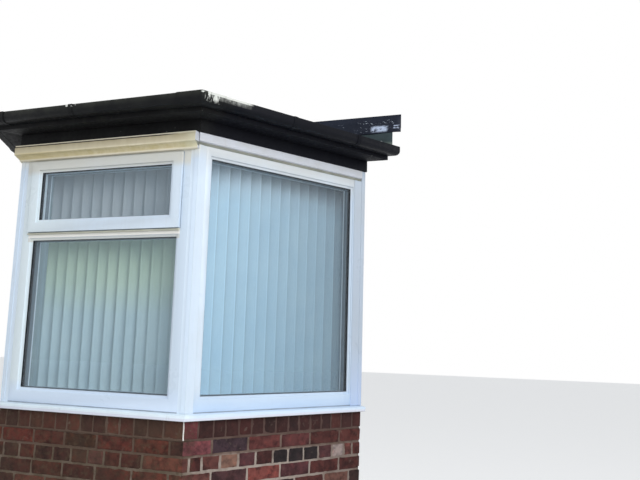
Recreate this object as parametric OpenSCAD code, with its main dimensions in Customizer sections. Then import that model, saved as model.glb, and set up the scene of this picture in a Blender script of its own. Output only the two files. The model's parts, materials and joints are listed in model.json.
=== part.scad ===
// Three-sided bay window for the ground floor of a brick house.
// X runs along the house wall, -Y points out of the wall, Z is up.
// The origin is on the wall face, at ground level, in the middle of the bay.

/* [Plan] */
// Length of the front brick face, between the two splayed corners
front_len = 1125; // [800:5:2400]
// Length of each splayed brick face, from its corner to the house wall
return_len = 1150; // [700:5:1800]
// Angle by which each return turns back towards the house wall
splay = 60; // [35:1:75]

/* [Brickwork] */
// Height of one course with its mortar bed
course_h = 76.25; // [60:0.25:90]
// Number of flat courses under the brick-on-edge course
courses = 13; // [6:1:18]
// Height of the brick-on-edge course with its bed
edge_course_h = 96.25; // [80:0.25:130]
// Thickness of the solid brick wall
wall_t = 215; // [200:5:330]
// Thickness of the plaster on the room side
plaster_t = 13; // [8:1:25]
// Mortar joint left at the mitred corners of the brick-on-edge course
corner_joint = 8; // [2:1:12]

/* [Floor and skirting] */
// Height of the room floor above the ground
floor_h = 150; // [75:5:300]
// Height of the skirting board
skirting_h = 120; // [70:5:220]
// Thickness of the skirting board
skirting_t = 18; // [12:1:25]

/* [Sill] */
// Height of the sill from the brickwork to the window frame
sill_h = 34; // [25:1:60]
// How far the sill's nose stands out from the brick face
sill_nose = 27; // [10:1:60]
// Height of the sill's vertical nose
sill_nose_h = 27; // [15:1:40]
// Thickness of the window board inside
board_t = 25; // [15:1:35]
// How far the window board stands out past the plaster
board_nose = 30; // [10:1:60]

/* [Window frames] */
// Height of the window frames
frame_h = 1340; // [900:5:1800]
// Depth of the frames from front to back
frame_d = 70; // [55:1:90]
// How far the frames' face lies behind the brick face
frame_set = 5; // [2:1:40]
// Width of the return frames' side member next to the corner post
frame_w = 28; // [20:1:60]
// Width of the return frames' side member next to the house wall
frame_far_w = 38; // [34:1:60]
// Width of the side members of the front frame
front_jamb_w = 53; // [40:1:90]
// Height of the bottom member of every frame
frame_bottom_w = 65; // [40:1:80]
// Height of the top member of every frame
frame_head_w = 59; // [50:1:80]
// Width of the glazing lip that holds the glass outside
lip_w = 14; // [12:1:20]
// How far the lip's face lies behind the frame's face
lip_set = 9; // [4:1:15]
// Distance of each frame's back corner from the mitre behind the corner posts
post_back = 3; // [1:1:20]
// Width of each face of the reeded cover on the post
post_cover_w = 25; // [16:1:40]
// How far the reeded cover stands out from the frames' face
post_cover_t = 4; // [2:1:6]
// Distance of each return frame's back corner from the house wall
strip_back = 5; // [1:1:30]
// How far the cover strip stands out from the frames' face
strip_t = 4; // [2:1:5]
// Width of the cover strip, with the bead beside the house wall
cover_w = 80; // [70:1:84]
// Width of the bead beside the house wall
wall_bead_w = 26; // [15:1:30]
// How far the bead stands out from the frames' face
wall_bead_t = 8; // [5:1:10]

/* [Top-hung sash] */
// Height of the transom's middle above the frames' underside
transom_z = 902; // [500:1:1200]
// Height of the transom
transom_w = 57; // [50:1:90]
// How far the sash laps over the frame at its sides and top
sash_lap = 11; // [2:1:12]
// How far the sash laps over the transom
sash_drop = 27; // [5:1:30]
// How far the sash's face stands in front of the frame's face
sash_proud = 16; // [8:1:25]
// Width of the sash's side members
sash_w = 51; // [40:1:70]
// Height of the sash's top member
sash_top_w = 45; // [30:1:60]
// Height of the sash's bottom member
sash_bottom_w = 53; // [45:1:80]

/* [Glass] */
// Thickness of the double glazed unit
unit_t = 24; // [14:1:32]
// Thickness of each sheet of glass
glass_t = 4; // [3:1:6]
// How far the glass lies behind the frame's face
glass_set = 15; // [15:1:22]
// Thickness of the gasket between the lip and the glass
gasket_t = 2; // [1:0.5:3]

/* [Head and roof] */
// How far the head trims' top lies above the window frames
trim_top = 48; // [40:1:120]
// Height of the moulded head trim over the front and the left return
trim_h = 85; // [75:1:95]
// How far the moulded head trim stands out from the brick face
trim_out = 38; // [20:1:70]
// Height of the flat head trim over the right return, with its sealed joint
flat_trim_h = 62; // [50:1:75]
// Height of the sealed joint under the flat head trim
trim_joint_h = 17; // [5:1:25]
// How far the flat head trim stands out from the brick face
flat_trim_out = 6; // [2:1:12]
// Height of the frieze board above the head trims
frieze_h = 67; // [30:1:120]
// Thickness of the frieze, soffit and fascia boards
board_thin = 12; // [8:1:25]
// How far the fascia's face stands out from the brick face
eaves_out = 124; // [90:1:300]
// Height of the fascia board
fascia_h = 52; // [40:1:150]
// Height of the room's ceiling above the window frames' underside
ceiling_rise = 1428; // [1000:1:1900]
// Thickness of the roof deck at the front edge
deck_t = 18; // [12:1:30]
// Fall of the roof from the wall to the front edge
roof_fall = 16; // [0:1:80]
// Thickness of the roof felt
felt_t = 5; // [3:1:10]
// Height of the felt upstand against the wall, above the deck's edge
upstand_h = 125; // [60:1:200]
// How far each end of the upstand runs past the brickwork along the wall
upstand_end = 170; // [100:1:200]

/* [Cover flashing] */
// Height of the cover flashing's lower edge above the deck's edge
flashing_low = 116; // [40:1:130]
// Height of the cover flashing
flashing_h = 112; // [80:1:200]
// Thickness of the cover flashing
flashing_t = 4; // [2:1:6]
// How far each end of the flashing runs past the brickwork along the wall
flashing_end = 222; // [160:1:230]

/* [Gutter] */
// Width of the gutter from the fascia to its front
gutter_w = 70; // [60:1:130]
// Height of the gutter
gutter_h = 54; // [40:1:110]
// Wall thickness of the gutter
gutter_t = 3; // [2:1:4]
// Radius of the gutter's rounded front corner
gutter_r = 26; // [10:1:30]
// Height of the fascia left bare under the gutter
gutter_drop = 22; // [10:1:30]
// Length of each leg of the gutter's corner piece, from the fascia's corner
gutter_corner_leg = 100; // [45:1:150]
// Gap between the gutter's ends and the house wall
gutter_end_gap = 8; // [7:1:30]

/* [Blinds] */
// Width of one hanging vane
vane_w = 89; // [60:1:127]
// Distance from one vane to the next
vane_pitch = 68; // [50:1:85]
// Thickness of the solid that stands for one vane
vane_t = 2; // [1:0.5:4]
// Turn of the vanes from the plane of the window, towards the bay's middle on the returns
vane_turn = 33; // [25:1:80]
// Distance of the front blind behind its frame, clear of the handle
blind_gap = 82; // [75:1:140]
// Distance of the returns' blinds behind their frames
side_blind_gap = 50; // [46:1:140]

/* [Hidden] */

// Plan values
half_front = front_len / 2;
projection = return_len * sin(splay);
half_wall = half_front + return_len * cos(splay);
mitre = tan(splay / 2);
far = 600;
fine = 0.4;

// Heights
wall_top = courses * course_h;
sill_z = wall_top + edge_course_h;
frame_z = sill_z + sill_h;
frame_top = frame_z + frame_h;
trim_z1 = frame_top + trim_top;
trim_z0 = trim_z1 - trim_h;
flat_trim_z0 = trim_z1 - flat_trim_h;
frieze_top = trim_z1 + frieze_h;
deck_z = frieze_top + fascia_h;
ceiling_z = frame_z + ceiling_rise;
gutter_z0 = frieze_top + gutter_drop;
gutter_top = gutter_z0 + gutter_h;
transom_mid = frame_z + transom_z;

// Depths, counted outwards from the brick face
frame_face = -frame_set;
frame_back = -frame_set - frame_d;
post_w = -frame_back * mitre + post_back;
strip_w = -frame_back / tan(splay) + strip_back;
lip_face = frame_face - lip_set;
glass_face = frame_face - glass_set;
room_face = -wall_t - plaster_t;
gutter_out = eaves_out + gutter_w;
blind_line = frame_back - blind_gap;
side_blind_line = frame_back - side_blind_gap;
deck_out = eaves_out + 6;

// Openings of the front frame, counted along it from its left corner
front_x0 = post_w + front_jamb_w;
front_x1 = front_len - front_x0;
lower_z0 = frame_z + frame_bottom_w;
lower_z1 = transom_mid - transom_w / 2;
upper_z0 = transom_mid + transom_w / 2;
upper_z1 = frame_top - frame_head_w;

// Sash: outer edge, opening before the lip, and depths
sash_gap = 4;
sash_x0 = front_x0 - sash_lap;
sash_z0 = upper_z0 - sash_drop;
sash_z1 = upper_z1 + sash_lap;
sash_open_x = sash_x0 + sash_w;
sash_open_z0 = sash_z0 + sash_bottom_w;
sash_open_z1 = sash_z1 - sash_top_w;
sash_face = frame_face + sash_proud;
sash_glass_face = sash_face - glass_set;

// Openings of the return frames, counted along the return from its corner
side_open_0 = post_w + frame_w;
side_open_1 = return_len - strip_w - frame_far_w;

// Outline points at a distance e outside the brick face
function corner_x(e) = half_front + e * mitre;
function wall_x(e) = half_wall + e / sin(splay);
function out_y(e) = -projection - e;
function arc(cx, cy, r, a0, a1, n) =
    [for (i = [0 : n]) let (a = a0 + (a1 - a0) * i / n) [cx + r * cos(a), cy + r * sin(a)]];

// Plan of the whole bay up to a distance e outside the brick face
module bay_plan(e) {
    polygon([
        [-wall_x(e), 0], [-corner_x(e), out_y(e)], [corner_x(e), out_y(e)], [wall_x(e), 0]
    ]);
}

// Plan of one length between its mitres, cut back by gap at each mitre
module front_plan(e0, e1, gap = 0) {
    g = gap / 2 / cos(splay / 2);
    polygon([
        [-corner_x(e0) + g, out_y(e0)], [corner_x(e0) - g, out_y(e0)],
        [corner_x(e1) - g, out_y(e1)], [-corner_x(e1) + g, out_y(e1)]
    ]);
}

module right_plan(e0, e1, gap = 0) {
    g = gap / 2 / cos(splay / 2);
    gx = g * cos(splay);
    gy = g * sin(splay);
    polygon([
        [corner_x(e0) + gx, out_y(e0) + gy], [wall_x(e0), 0],
        [wall_x(e1), 0], [corner_x(e1) + gx, out_y(e1) + gy]
    ]);
}

module front_band(e0, e1, z0, z1, gap = 0) {
    translate([0, 0, z0]) linear_extrude(z1 - z0) front_plan(e0, e1, gap);
}

module right_band(e0, e1, z0, z1, gap = 0) {
    translate([0, 0, z0]) linear_extrude(z1 - z0) right_plan(e0, e1, gap);
}

module left_band(e0, e1, z0, z1, gap = 0) {
    mirror([1, 0, 0]) right_band(e0, e1, z0, z1, gap);
}

module three_bands(e0, e1, z0, z1, gap = fine) {
    front_band(e0, e1, z0, z1, gap);
    right_band(e0, e1, z0, z1, gap);
    left_band(e0, e1, z0, z1, gap);
}

// Places along a side: x runs along the brick face from its left end, -y points out
module at_front() { translate([-half_front, -projection, 0]) children(); }
module at_right() { translate([half_front, -projection, 0]) rotate([0, 0, splay]) children(); }
module at_left() { mirror([1, 0, 0]) at_right() children(); }

// A moulding: the outline is given as [distance outside the brick face, height]
module run(x0, x1, outline) {
    translate([x0, 0, 0]) rotate([90, 0, 90]) linear_extrude(x1 - x0)
        polygon([for (p = outline) [-p[0], p[1]]]);
}

module front_run(outline, gap = 0) {
    intersection() {
        at_front() run(-far, front_len + far, outline);
        front_band(-far / 2, far / 2, 0, 2 * deck_z, gap);
    }
}

module right_run(outline, gap = 0) {
    intersection() {
        at_right() run(-far, return_len + far, outline);
        right_band(-far / 2, far / 2, 0, 2 * deck_z, gap);
    }
}

module left_run(outline, gap = 0) { mirror([1, 0, 0]) right_run(outline, gap); }

// A flat upright block on a side: x0 to x1 along it, e0 to e1 out of it
module slab(x0, x1, e0, e1, z0, z1) {
    translate([x0, -e1, z0]) cube([x1 - x0, e1 - e0, z1 - z0]);
}

// A picture-frame shape: outer edge, and side, bottom and top member widths
module ring(x0, x1, z0, z1, e0, e1, side, bottom, top) {
    difference() {
        slab(x0, x1, e0, e1, z0, z1);
        slab(x0 + side, x1 - side, e0 - 1, e1 + 1, z0 + bottom, z1 - top);
    }
}

// Brickwork
module wall_colour() { color([0.52, 0.33, 0.28]) children(); }

module front_wall() { wall_colour() front_band(-wall_t, 0, 0, wall_top); }
module left_wall() { wall_colour() left_band(-wall_t, 0, 0, wall_top); }
module right_wall() { wall_colour() right_band(-wall_t, 0, 0, wall_top); }
module edge_course() { wall_colour() three_bands(-wall_t, 0, wall_top, sill_z, corner_joint); }

// Room side below the window
module floor_slab() {
    color([0.55, 0.53, 0.5]) linear_extrude(floor_h) bay_plan(-wall_t);
}

module plaster_lining() {
    color([0.9, 0.89, 0.85]) three_bands(room_face, -wall_t, floor_h, sill_z);
}

module skirting_boards() {
    color([0.93, 0.93, 0.91])
        three_bands(room_face - skirting_t, room_face, floor_h, floor_h + skirting_h);
}

module window_boards() {
    color([0.94, 0.94, 0.92])
        three_bands(room_face - board_nose, frame_back, sill_z, sill_z + board_t);
}

// Sill with a sloping top, a vertical nose and a drip groove
drip_out = sill_nose - 8;
drip_w = 6;
drip_d = 5;

function sill_outline() = [
    [frame_back, sill_z], [drip_out - drip_w, sill_z], [drip_out - drip_w, sill_z + drip_d],
    [drip_out, sill_z + drip_d], [drip_out, sill_z], [sill_nose - 2, sill_z],
    [sill_nose, sill_z + 2], [sill_nose, sill_z + sill_nose_h - 3],
    [sill_nose - 3, sill_z + sill_nose_h], [frame_face, frame_z], [frame_back, frame_z]
];

module sill_colour() { color([0.9, 0.91, 0.9]) children(); }
module front_sill() { sill_colour() front_run(sill_outline()); }
module right_sill() { sill_colour() right_run(sill_outline()); }
module left_sill() { sill_colour() left_run(sill_outline()); }

// Window frames: a deep member all round, with a stepped lip that holds the glass outside
module front_frame_body() {
    difference() {
        slab(post_w, front_len - post_w, frame_back, frame_face, frame_z, frame_top);
        slab(front_x0, front_x1, frame_back - 1, frame_face + 1, lower_z0, lower_z1);
        slab(front_x0, front_x1, frame_back - 1, frame_face + 1, upper_z0, upper_z1);
    }
    lip_ring(front_x0, front_x1, lower_z0, lower_z1, lip_face);
}

// Lip round an opening: it narrows in steps from the glass to its own face
module lip_ring(x0, x1, z0, z1, face) {
    back = face - glass_set + lip_set + gasket_t;
    middle = (face + back) / 2;
    narrow_w = lip_w - 2;
    ring(x0, x1, z0, z1, back, middle, lip_w, lip_w, lip_w);
    ring(x0, x1, z0, z1, middle, face, narrow_w, narrow_w, narrow_w);
}

module side_frame_body() {
    difference() {
        slab(post_w, return_len - strip_w, frame_back, frame_face, frame_z, frame_top);
        slab(side_open_0, side_open_1, frame_back - 1, frame_face + 1, lower_z0, upper_z1);
    }
    lip_ring(side_open_0, side_open_1, lower_z0, upper_z1, lip_face);
}

module frame_colour() { color([0.93, 0.95, 0.97]) children(); }
module front_frame() { frame_colour() at_front() front_frame_body(); }
module right_frame() { frame_colour() at_right() side_frame_body(); }
module left_frame() { frame_colour() at_left() side_frame_body(); }

// Corner posts: a wedge between the frames, and a reeded cover that follows the corner
module post_wedge() {
    translate([0, 0, frame_z]) linear_extrude(frame_h) polygon([
        [half_front - post_w, out_y(frame_back)],
        [half_front - post_w, out_y(frame_face)],
        [corner_x(frame_face), out_y(frame_face)],
        [half_front + post_w * cos(splay) + frame_face * sin(splay),
         -projection + post_w * sin(splay) - frame_face * cos(splay)],
        [half_front + post_w * cos(splay) + frame_back * sin(splay),
         -projection + post_w * sin(splay) - frame_back * cos(splay)],
        [corner_x(frame_back), out_y(frame_back)]
    ]);
}

module cover_face(turn, top) {
    cover_front = frame_face + post_cover_t;
    groove_w = 1.5;
    groove_d = 0.6;
    grooves = 3;
    pitch = post_cover_w / (grooves + 0.5);
    difference() {
        slab(turn > 0 ? -far : -post_cover_w, turn > 0 ? post_cover_w : far,
             frame_face, cover_front, frame_z, top);
        for (i = [0 : grooves - 1])
            translate([turn * (i + 0.8) * pitch, 0, 0])
                slab(-groove_w / 2, groove_w / 2, cover_front - groove_d, cover_front + 1,
                     frame_z - 1, frame_top + 1);
    }
}

module corner_post(side_top) {
    post_wedge();
    intersection() {
        at_front() translate([front_len, 0, 0]) cover_face(-1, trim_z0);
        front_band(-far / 2, far / 2, frame_z, frame_top);
    }
    intersection() {
        at_right() cover_face(1, side_top);
        right_band(-far / 2, far / 2, frame_z, frame_top);
    }
}

module corner_posts() {
    frame_colour() {
        corner_post(flat_trim_z0);
        mirror([1, 0, 0]) corner_post(trim_z0);
    }
}

// Cover strips: they close the gap between each return frame and the house wall
module cover_strip(strip_top, bead_top) {
    bead_x = return_len - wall_bead_w;
    intersection() {
        at_right() {
            slab(return_len - strip_w, return_len + far, frame_back, frame_face,
                 frame_z, frame_top);
            slab(return_len - cover_w, bead_x, frame_face, frame_face + strip_t,
                 frame_z, strip_top);
            slab(bead_x, return_len + far, frame_face, frame_face + wall_bead_t,
                 frame_z, bead_top);
        }
        right_band(-far / 2, far / 2, frame_z, trim_z1);
    }
}

module cover_strips() {
    color([0.9, 0.9, 0.87]) {
        cover_strip(flat_trim_z0, trim_z1);
        mirror([1, 0, 0]) cover_strip(trim_z0, trim_z0);
    }
}

// Top-hung sash: a deep body inside the frame and a flange that laps over it
module opener_sash() {
    frame_colour() at_front() {
        difference() {
            union() {
                slab(sash_x0, front_len - sash_x0, frame_face, sash_face, sash_z0, sash_z1);
                slab(front_x0 + sash_gap, front_x1 - sash_gap, frame_back, frame_face,
                     upper_z0 + sash_gap, upper_z1 - sash_gap);
            }
            slab(sash_open_x, front_len - sash_open_x, frame_back - 1, sash_face + 1,
                 sash_open_z0, sash_open_z1);
        }
        lip_ring(sash_open_x, front_len - sash_open_x, sash_open_z0, sash_open_z1,
                 sash_face - lip_set);
    }
}

// Handle on the room side of the sash
module opener_handle() {
    plate_w = 60;
    plate_h = 28;
    plate_face = frame_back - 8;
    neck = 9;
    grip_l = 110;
    grip_face = frame_back - 30;
    grip_t = 12;
    mid = front_len / 2;
    z = (sash_open_z0 + upper_z0 + sash_gap) / 2;
    color([0.92, 0.92, 0.92]) at_front() {
        slab(mid - plate_w / 2, mid + plate_w / 2, plate_face, frame_back,
             z - plate_h / 2, z + plate_h / 2);
        slab(mid - neck, mid + neck, grip_face, plate_face, z - neck, z + neck);
        slab(mid - neck, mid + grip_l, grip_face - grip_t, grip_face, z - neck, z + neck);
    }
}

// Sheets of glass in the opening x0 to x1 and z0 to z1 of a frame, with edge clearance
edge_gap = 5;

module sheets(x0, x1, z0, z1, face) {
    for (back = [face - glass_t, face - unit_t])
        slab(x0 + edge_gap, x1 - edge_gap, back, back + glass_t, z0 + edge_gap, z1 - edge_gap);
}

module spacer(x0, x1, z0, z1, face) {
    spacer_w = lip_w - edge_gap + 1;
    ring(x0 + edge_gap, x1 - edge_gap, z0 + edge_gap, z1 - edge_gap,
         face - unit_t + glass_t, face - glass_t, spacer_w, spacer_w, spacer_w);
}

module bead(x0, x1, z0, z1, face, back) {
    bead_w = lip_w + 3;
    ring(x0, x1, z0, z1, back, face - unit_t, bead_w, bead_w, bead_w);
}

module gasket(x0, x1, z0, z1, face) {
    gasket_w = lip_w + 1;
    ring(x0, x1, z0, z1, face, face + gasket_t, gasket_w, gasket_w, gasket_w);
}

module glass_colour() { color([0.75, 0.85, 0.87, 0.4]) children(); }
module front_glass() {
    glass_colour() at_front() sheets(front_x0, front_x1, lower_z0, lower_z1, glass_face);
}
module opener_glass() {
    glass_colour() at_front()
        sheets(sash_open_x, front_len - sash_open_x, sash_open_z0, sash_open_z1, sash_glass_face);
}
module right_glass() {
    glass_colour() at_right() sheets(side_open_0, side_open_1, lower_z0, upper_z1, glass_face);
}
module left_glass() {
    glass_colour() at_left() sheets(side_open_0, side_open_1, lower_z0, upper_z1, glass_face);
}

module spacer_bars() {
    color([0.08, 0.08, 0.08]) {
        at_front() spacer(front_x0, front_x1, lower_z0, lower_z1, glass_face);
        at_front() spacer(sash_open_x, front_len - sash_open_x, sash_open_z0, sash_open_z1,
                          sash_glass_face);
        at_right() spacer(side_open_0, side_open_1, lower_z0, upper_z1, glass_face);
        at_left() spacer(side_open_0, side_open_1, lower_z0, upper_z1, glass_face);
    }
}

module glazing_beads() {
    frame_colour() {
        at_front() bead(front_x0, front_x1, lower_z0, lower_z1, glass_face, frame_back);
        at_front() bead(sash_open_x, front_len - sash_open_x, sash_open_z0, sash_open_z1,
                        sash_glass_face, frame_back);
        at_right() bead(side_open_0, side_open_1, lower_z0, upper_z1, glass_face, frame_back);
        at_left() bead(side_open_0, side_open_1, lower_z0, upper_z1, glass_face, frame_back);
    }
}

module glazing_gaskets() {
    color([0.06, 0.06, 0.06]) {
        at_front() gasket(front_x0, front_x1, lower_z0, lower_z1, glass_face);
        at_front() gasket(sash_open_x, front_len - sash_open_x, sash_open_z0, sash_open_z1,
                          sash_glass_face);
        at_right() gasket(side_open_0, side_open_1, lower_z0, upper_z1, glass_face);
        at_left() gasket(side_open_0, side_open_1, lower_z0, upper_z1, glass_face);
    }
}

// Head trims: a moulding over the front and the left return, mitred where they meet, and a
// flat trim over the right return, which ends at the bead beside the house wall
trim_lip = 6;
trim_groove_h = 3;
trim_fillet_h = 7;
cove_r = min(trim_out - frame_face - 16, trim_h - 50);

function trim_outline() = concat(
    [[frame_face, trim_z0], [trim_out - cove_r - 6, trim_z0],
     [trim_out - cove_r, trim_z0 + trim_lip - 3]],
    arc(trim_out, trim_z0 + trim_lip, cove_r, 180, 90, 6),
    [[trim_out, trim_z1 - trim_fillet_h - trim_groove_h],
     [trim_out - trim_lip, trim_z1 - trim_fillet_h - trim_groove_h],
     [trim_out - trim_lip, trim_z1 - trim_fillet_h],
     [trim_out - 2, trim_z1 - trim_fillet_h], [trim_out - 2, trim_z1],
     [frame_face, trim_z1]]
);

function flat_trim_outline() = [
    [frame_face, flat_trim_z0], [frame_face + 2, flat_trim_z0],
    [frame_face + 2, flat_trim_z0 + trim_joint_h], [flat_trim_out - 1, flat_trim_z0 + trim_joint_h],
    [flat_trim_out, flat_trim_z0 + trim_joint_h + 1], [flat_trim_out, trim_z1],
    [frame_face, trim_z1]
];

module front_trim() {
    intersection() {
        at_front() run(-far, half_front + corner_x(frame_face) - fine, trim_outline());
        union() {
            front_band(-far / 2, far / 2, trim_z0, trim_z1, fine);
            translate([0, -projection - far, trim_z0]) cube([far * 2, far * 2, trim_h]);
        }
    }
}

module right_trim() {
    intersection() {
        at_right() run(-far, return_len - wall_bead_w, flat_trim_outline());
        right_band(-far / 2, far / 2, trim_z0, trim_z1, 0);
    }
}

module head_trims() {
    color([0.93, 0.92, 0.86]) {
        front_trim();
        right_trim();
        left_run(trim_outline(), fine);
    }
}

// Roof structure
module head_beams() {
    color([0.7, 0.6, 0.45]) {
        three_bands(frame_back, frame_face, frame_top, trim_z1);
        three_bands(frame_back, 0, trim_z1, deck_z);
    }
}

module wall_plate() {
    plate_t = 47;
    color([0.7, 0.6, 0.45]) intersection() {
        translate([-far * 4, -plate_t, ceiling_z + board_thin])
            cube([far * 8, plate_t, deck_z - ceiling_z - board_thin]);
        linear_extrude(deck_z) bay_plan(frame_back);
    }
}

module ceiling_board() {
    color([0.93, 0.93, 0.9]) translate([0, 0, ceiling_z]) linear_extrude(board_thin)
        bay_plan(frame_back);
}

// Boards of the eaves
module eaves_colour() { color([0.1, 0.1, 0.11]) children(); }

module frieze_boards() { eaves_colour() three_bands(0, board_thin, trim_z1, frieze_top); }

module soffit_boards() {
    eaves_colour()
        three_bands(0, eaves_out - board_thin, frieze_top, frieze_top + board_thin);
}

module fascia_boards() {
    eaves_colour() three_bands(eaves_out - board_thin, eaves_out, frieze_top, deck_z);
}

// Roof: the deck falls from the wall to the front edge
module roof_wedge(low, high) {
    front = -projection - deck_out - 1;
    translate([-4 * far, 0, 0]) rotate([90, 0, 90]) linear_extrude(8 * far)
        polygon([[front, low], [0, low], [0, high + roof_fall], [front, high]]);
}

module roof_deck() {
    color([0.62, 0.5, 0.35]) intersection() {
        linear_extrude(2 * deck_z) bay_plan(eaves_out);
        roof_wedge(deck_z, deck_z + deck_t);
    }
}

module roof_felt() {
    color([0.33, 0.38, 0.35]) {
        difference() {
            intersection() {
                linear_extrude(2 * deck_z) bay_plan(deck_out);
                roof_wedge(deck_z, deck_z + deck_t + felt_t);
            }
            intersection() {
                translate([0, 0, -1]) linear_extrude(2 * deck_z) bay_plan(eaves_out);
                roof_wedge(deck_z - 1, deck_z + deck_t);
            }
        }
        translate([-half_wall - upstand_end, -felt_t, deck_z + deck_t + roof_fall])
            cube([2 * (half_wall + upstand_end), felt_t, upstand_h - roof_fall]);
    }
}

module cover_flashing() {
    low = deck_z + flashing_low;
    top = deck_z + deck_t + upstand_h;
    color([0.1, 0.1, 0.11])
        translate([-half_wall - flashing_end, 0, 0]) rotate([90, 0, 90])
        linear_extrude(2 * (half_wall + flashing_end)) polygon([
            [-felt_t, low], [-felt_t - flashing_t, low], [-felt_t - flashing_t, top + 4],
            [-flashing_t, top + 12], [-flashing_t, low + flashing_h], [0, low + flashing_h],
            [0, top], [-felt_t, top]
        ]);
}

// Gutter: low flat back under the felt, flat bottom, rounded front corner, bead on the rim
function gutter_curve(r, a0, a1) =
    arc(gutter_out - gutter_r, gutter_z0 + gutter_r, r, a0, a1, 6);

gutter_back_top = deck_z - fine;
rim_w = gutter_t + 3;
rim_h = 5;

function gutter_section() = concat(
    [[eaves_out, gutter_back_top], [eaves_out, gutter_z0]],
    gutter_curve(gutter_r, -90, 0),
    [[gutter_out, gutter_top], [gutter_out - rim_w, gutter_top],
     [gutter_out - rim_w, gutter_top - rim_h], [gutter_out - gutter_t, gutter_top - rim_h]],
    gutter_curve(gutter_r - gutter_t, 0, -90),
    [[eaves_out + gutter_t, gutter_z0 + gutter_t], [eaves_out + gutter_t, gutter_back_top]]
);

// Outline of a sleeve of thickness t round the outside of the gutter
function sleeve_section(t) = concat(
    [[eaves_out, gutter_z0], [eaves_out, gutter_z0 - t]],
    gutter_curve(gutter_r + t, -90, 0),
    [[gutter_out + t, gutter_top], [gutter_out, gutter_top]],
    gutter_curve(gutter_r, 0, -90)
);

function stop_outline() = concat(
    [[eaves_out, gutter_back_top], [eaves_out, gutter_z0]],
    gutter_curve(gutter_r, -90, 0),
    [[gutter_out, gutter_top], [deck_out + 1, gutter_top], [deck_out + 1, gutter_back_top]]
);

module side_gutter() {
    intersection() {
        union() {
            right_run(gutter_section(), fine);
            intersection() {
                right_run(stop_outline());
                translate([0, -gutter_end_gap - gutter_t, 0]) cube([4 * far, far, 2 * deck_z]);
            }
        }
        translate([0, -gutter_end_gap - 4 * far, 0]) cube([4 * far, 4 * far, 2 * deck_z]);
    }
}

module front_gutter() { eaves_colour() front_run(gutter_section(), fine); }
module right_gutter() { eaves_colour() side_gutter(); }
module left_gutter() { eaves_colour() mirror([1, 0, 0]) side_gutter(); }

// Corner piece: a sleeve round the two gutters' mitre
module gutter_corner() {
    corner_t = 3;
    reach = eaves_out * mitre;
    intersection() {
        at_front() run(front_len + reach - gutter_corner_leg, front_len + far,
                       sleeve_section(corner_t));
        front_band(-far / 2, far / 2, 0, 2 * deck_z);
    }
    intersection() {
        at_right() run(-far, gutter_corner_leg - reach, sleeve_section(corner_t));
        right_band(-far / 2, far / 2, 0, 2 * deck_z);
    }
}

module gutter_corners() {
    eaves_colour() {
        gutter_corner();
        mirror([1, 0, 0]) gutter_corner();
    }
}

// Clips: narrow straps round the gutter at its joints and brackets
clip_w = 24;
clip_t = 2;

module gutter_clip(x) { run(x - clip_w / 2, x + clip_w / 2, sleeve_section(clip_t)); }

module gutter_clips() {
    eaves_colour() {
        at_front() gutter_clip(front_len * 0.416);
        at_right() for (f = [0.4, 0.8]) gutter_clip(return_len * f);
        at_left() for (f = [0.4, 0.8]) gutter_clip(return_len * f);
    }
}

// Vertical blinds: a rail over each window and hanging vanes turned to let light in
rail_w = 40;
rail_h = 34;
rail_end_gap = 16;
vane_low = 35;
vane_top_gap = 6;
rail_z = frame_top - rail_h;
vane_z0 = frame_z + vane_low;
vane_z1 = rail_z - vane_top_gap;
front_blind_x0 = -blind_line * mitre + rail_end_gap;
front_blind_x1 = front_len - front_blind_x0;
side_blind_x0 = -side_blind_line * mitre + rail_end_gap;
side_blind_x1 = return_len + side_blind_line / tan(splay) - rail_end_gap;

module rail(x0, x1, line) {
    slab(x0, x1, line - rail_w / 2, line + rail_w / 2, rail_z, rail_z + rail_h);
}

module brackets(x0, x1, line) {
    bracket_in = 60;
    bracket_w = 30;
    bracket_t = 3;
    for (x = [x0 + bracket_in, (x0 + x1) / 2, x1 - bracket_in])
        slab(x - bracket_w / 2, x + bracket_w / 2, line, frame_back, frame_top,
             frame_top + bracket_t);
}

// A row of vanes, in the middle of its rail or moved along it by shift
module vanes(x0, x1, line, turn, shift) {
    count = floor((x1 - x0 - vane_w) / vane_pitch) + 1;
    start = (x0 + x1 - (count - 1) * vane_pitch) / 2 + shift;
    hanger_w = 6;
    for (i = [0 : count - 1])
        translate([start + i * vane_pitch, -line, 0]) {
            rotate([0, 0, turn]) translate([-vane_w / 2, -vane_t / 2, vane_z0])
                cube([vane_w, vane_t, vane_z1 - vane_z0]);
            translate([-hanger_w / 2, -hanger_w / 2, vane_z1])
                cube([hanger_w, hanger_w, rail_z - vane_z1]);
        }
}

module blind_rails() {
    color([0.93, 0.93, 0.93]) {
        at_front() rail(front_blind_x0, front_blind_x1, blind_line);
        at_right() rail(side_blind_x0, side_blind_x1, side_blind_line);
        at_left() rail(side_blind_x0, side_blind_x1, side_blind_line);
    }
}

module blind_brackets() {
    color([0.93, 0.93, 0.93]) {
        at_front() brackets(front_blind_x0, front_blind_x1, blind_line);
        at_right() brackets(side_blind_x0, side_blind_x1, side_blind_line);
        at_left() brackets(side_blind_x0, side_blind_x1, side_blind_line);
    }
}

module vane_colour() { color([0.88, 0.9, 0.92]) children(); }
// The returns' rows are drawn towards the house wall
wall_shift = 15;

module front_blind() {
    vane_colour() at_front()
        vanes(front_blind_x0, front_blind_x1, blind_line, vane_turn, 0);
}

module side_vanes() {
    vanes(side_blind_x0, side_blind_x1, side_blind_line, -vane_turn, wall_shift);
}

module right_blind() { vane_colour() at_right() side_vanes(); }
module left_blind() { vane_colour() at_left() side_vanes(); }

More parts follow.
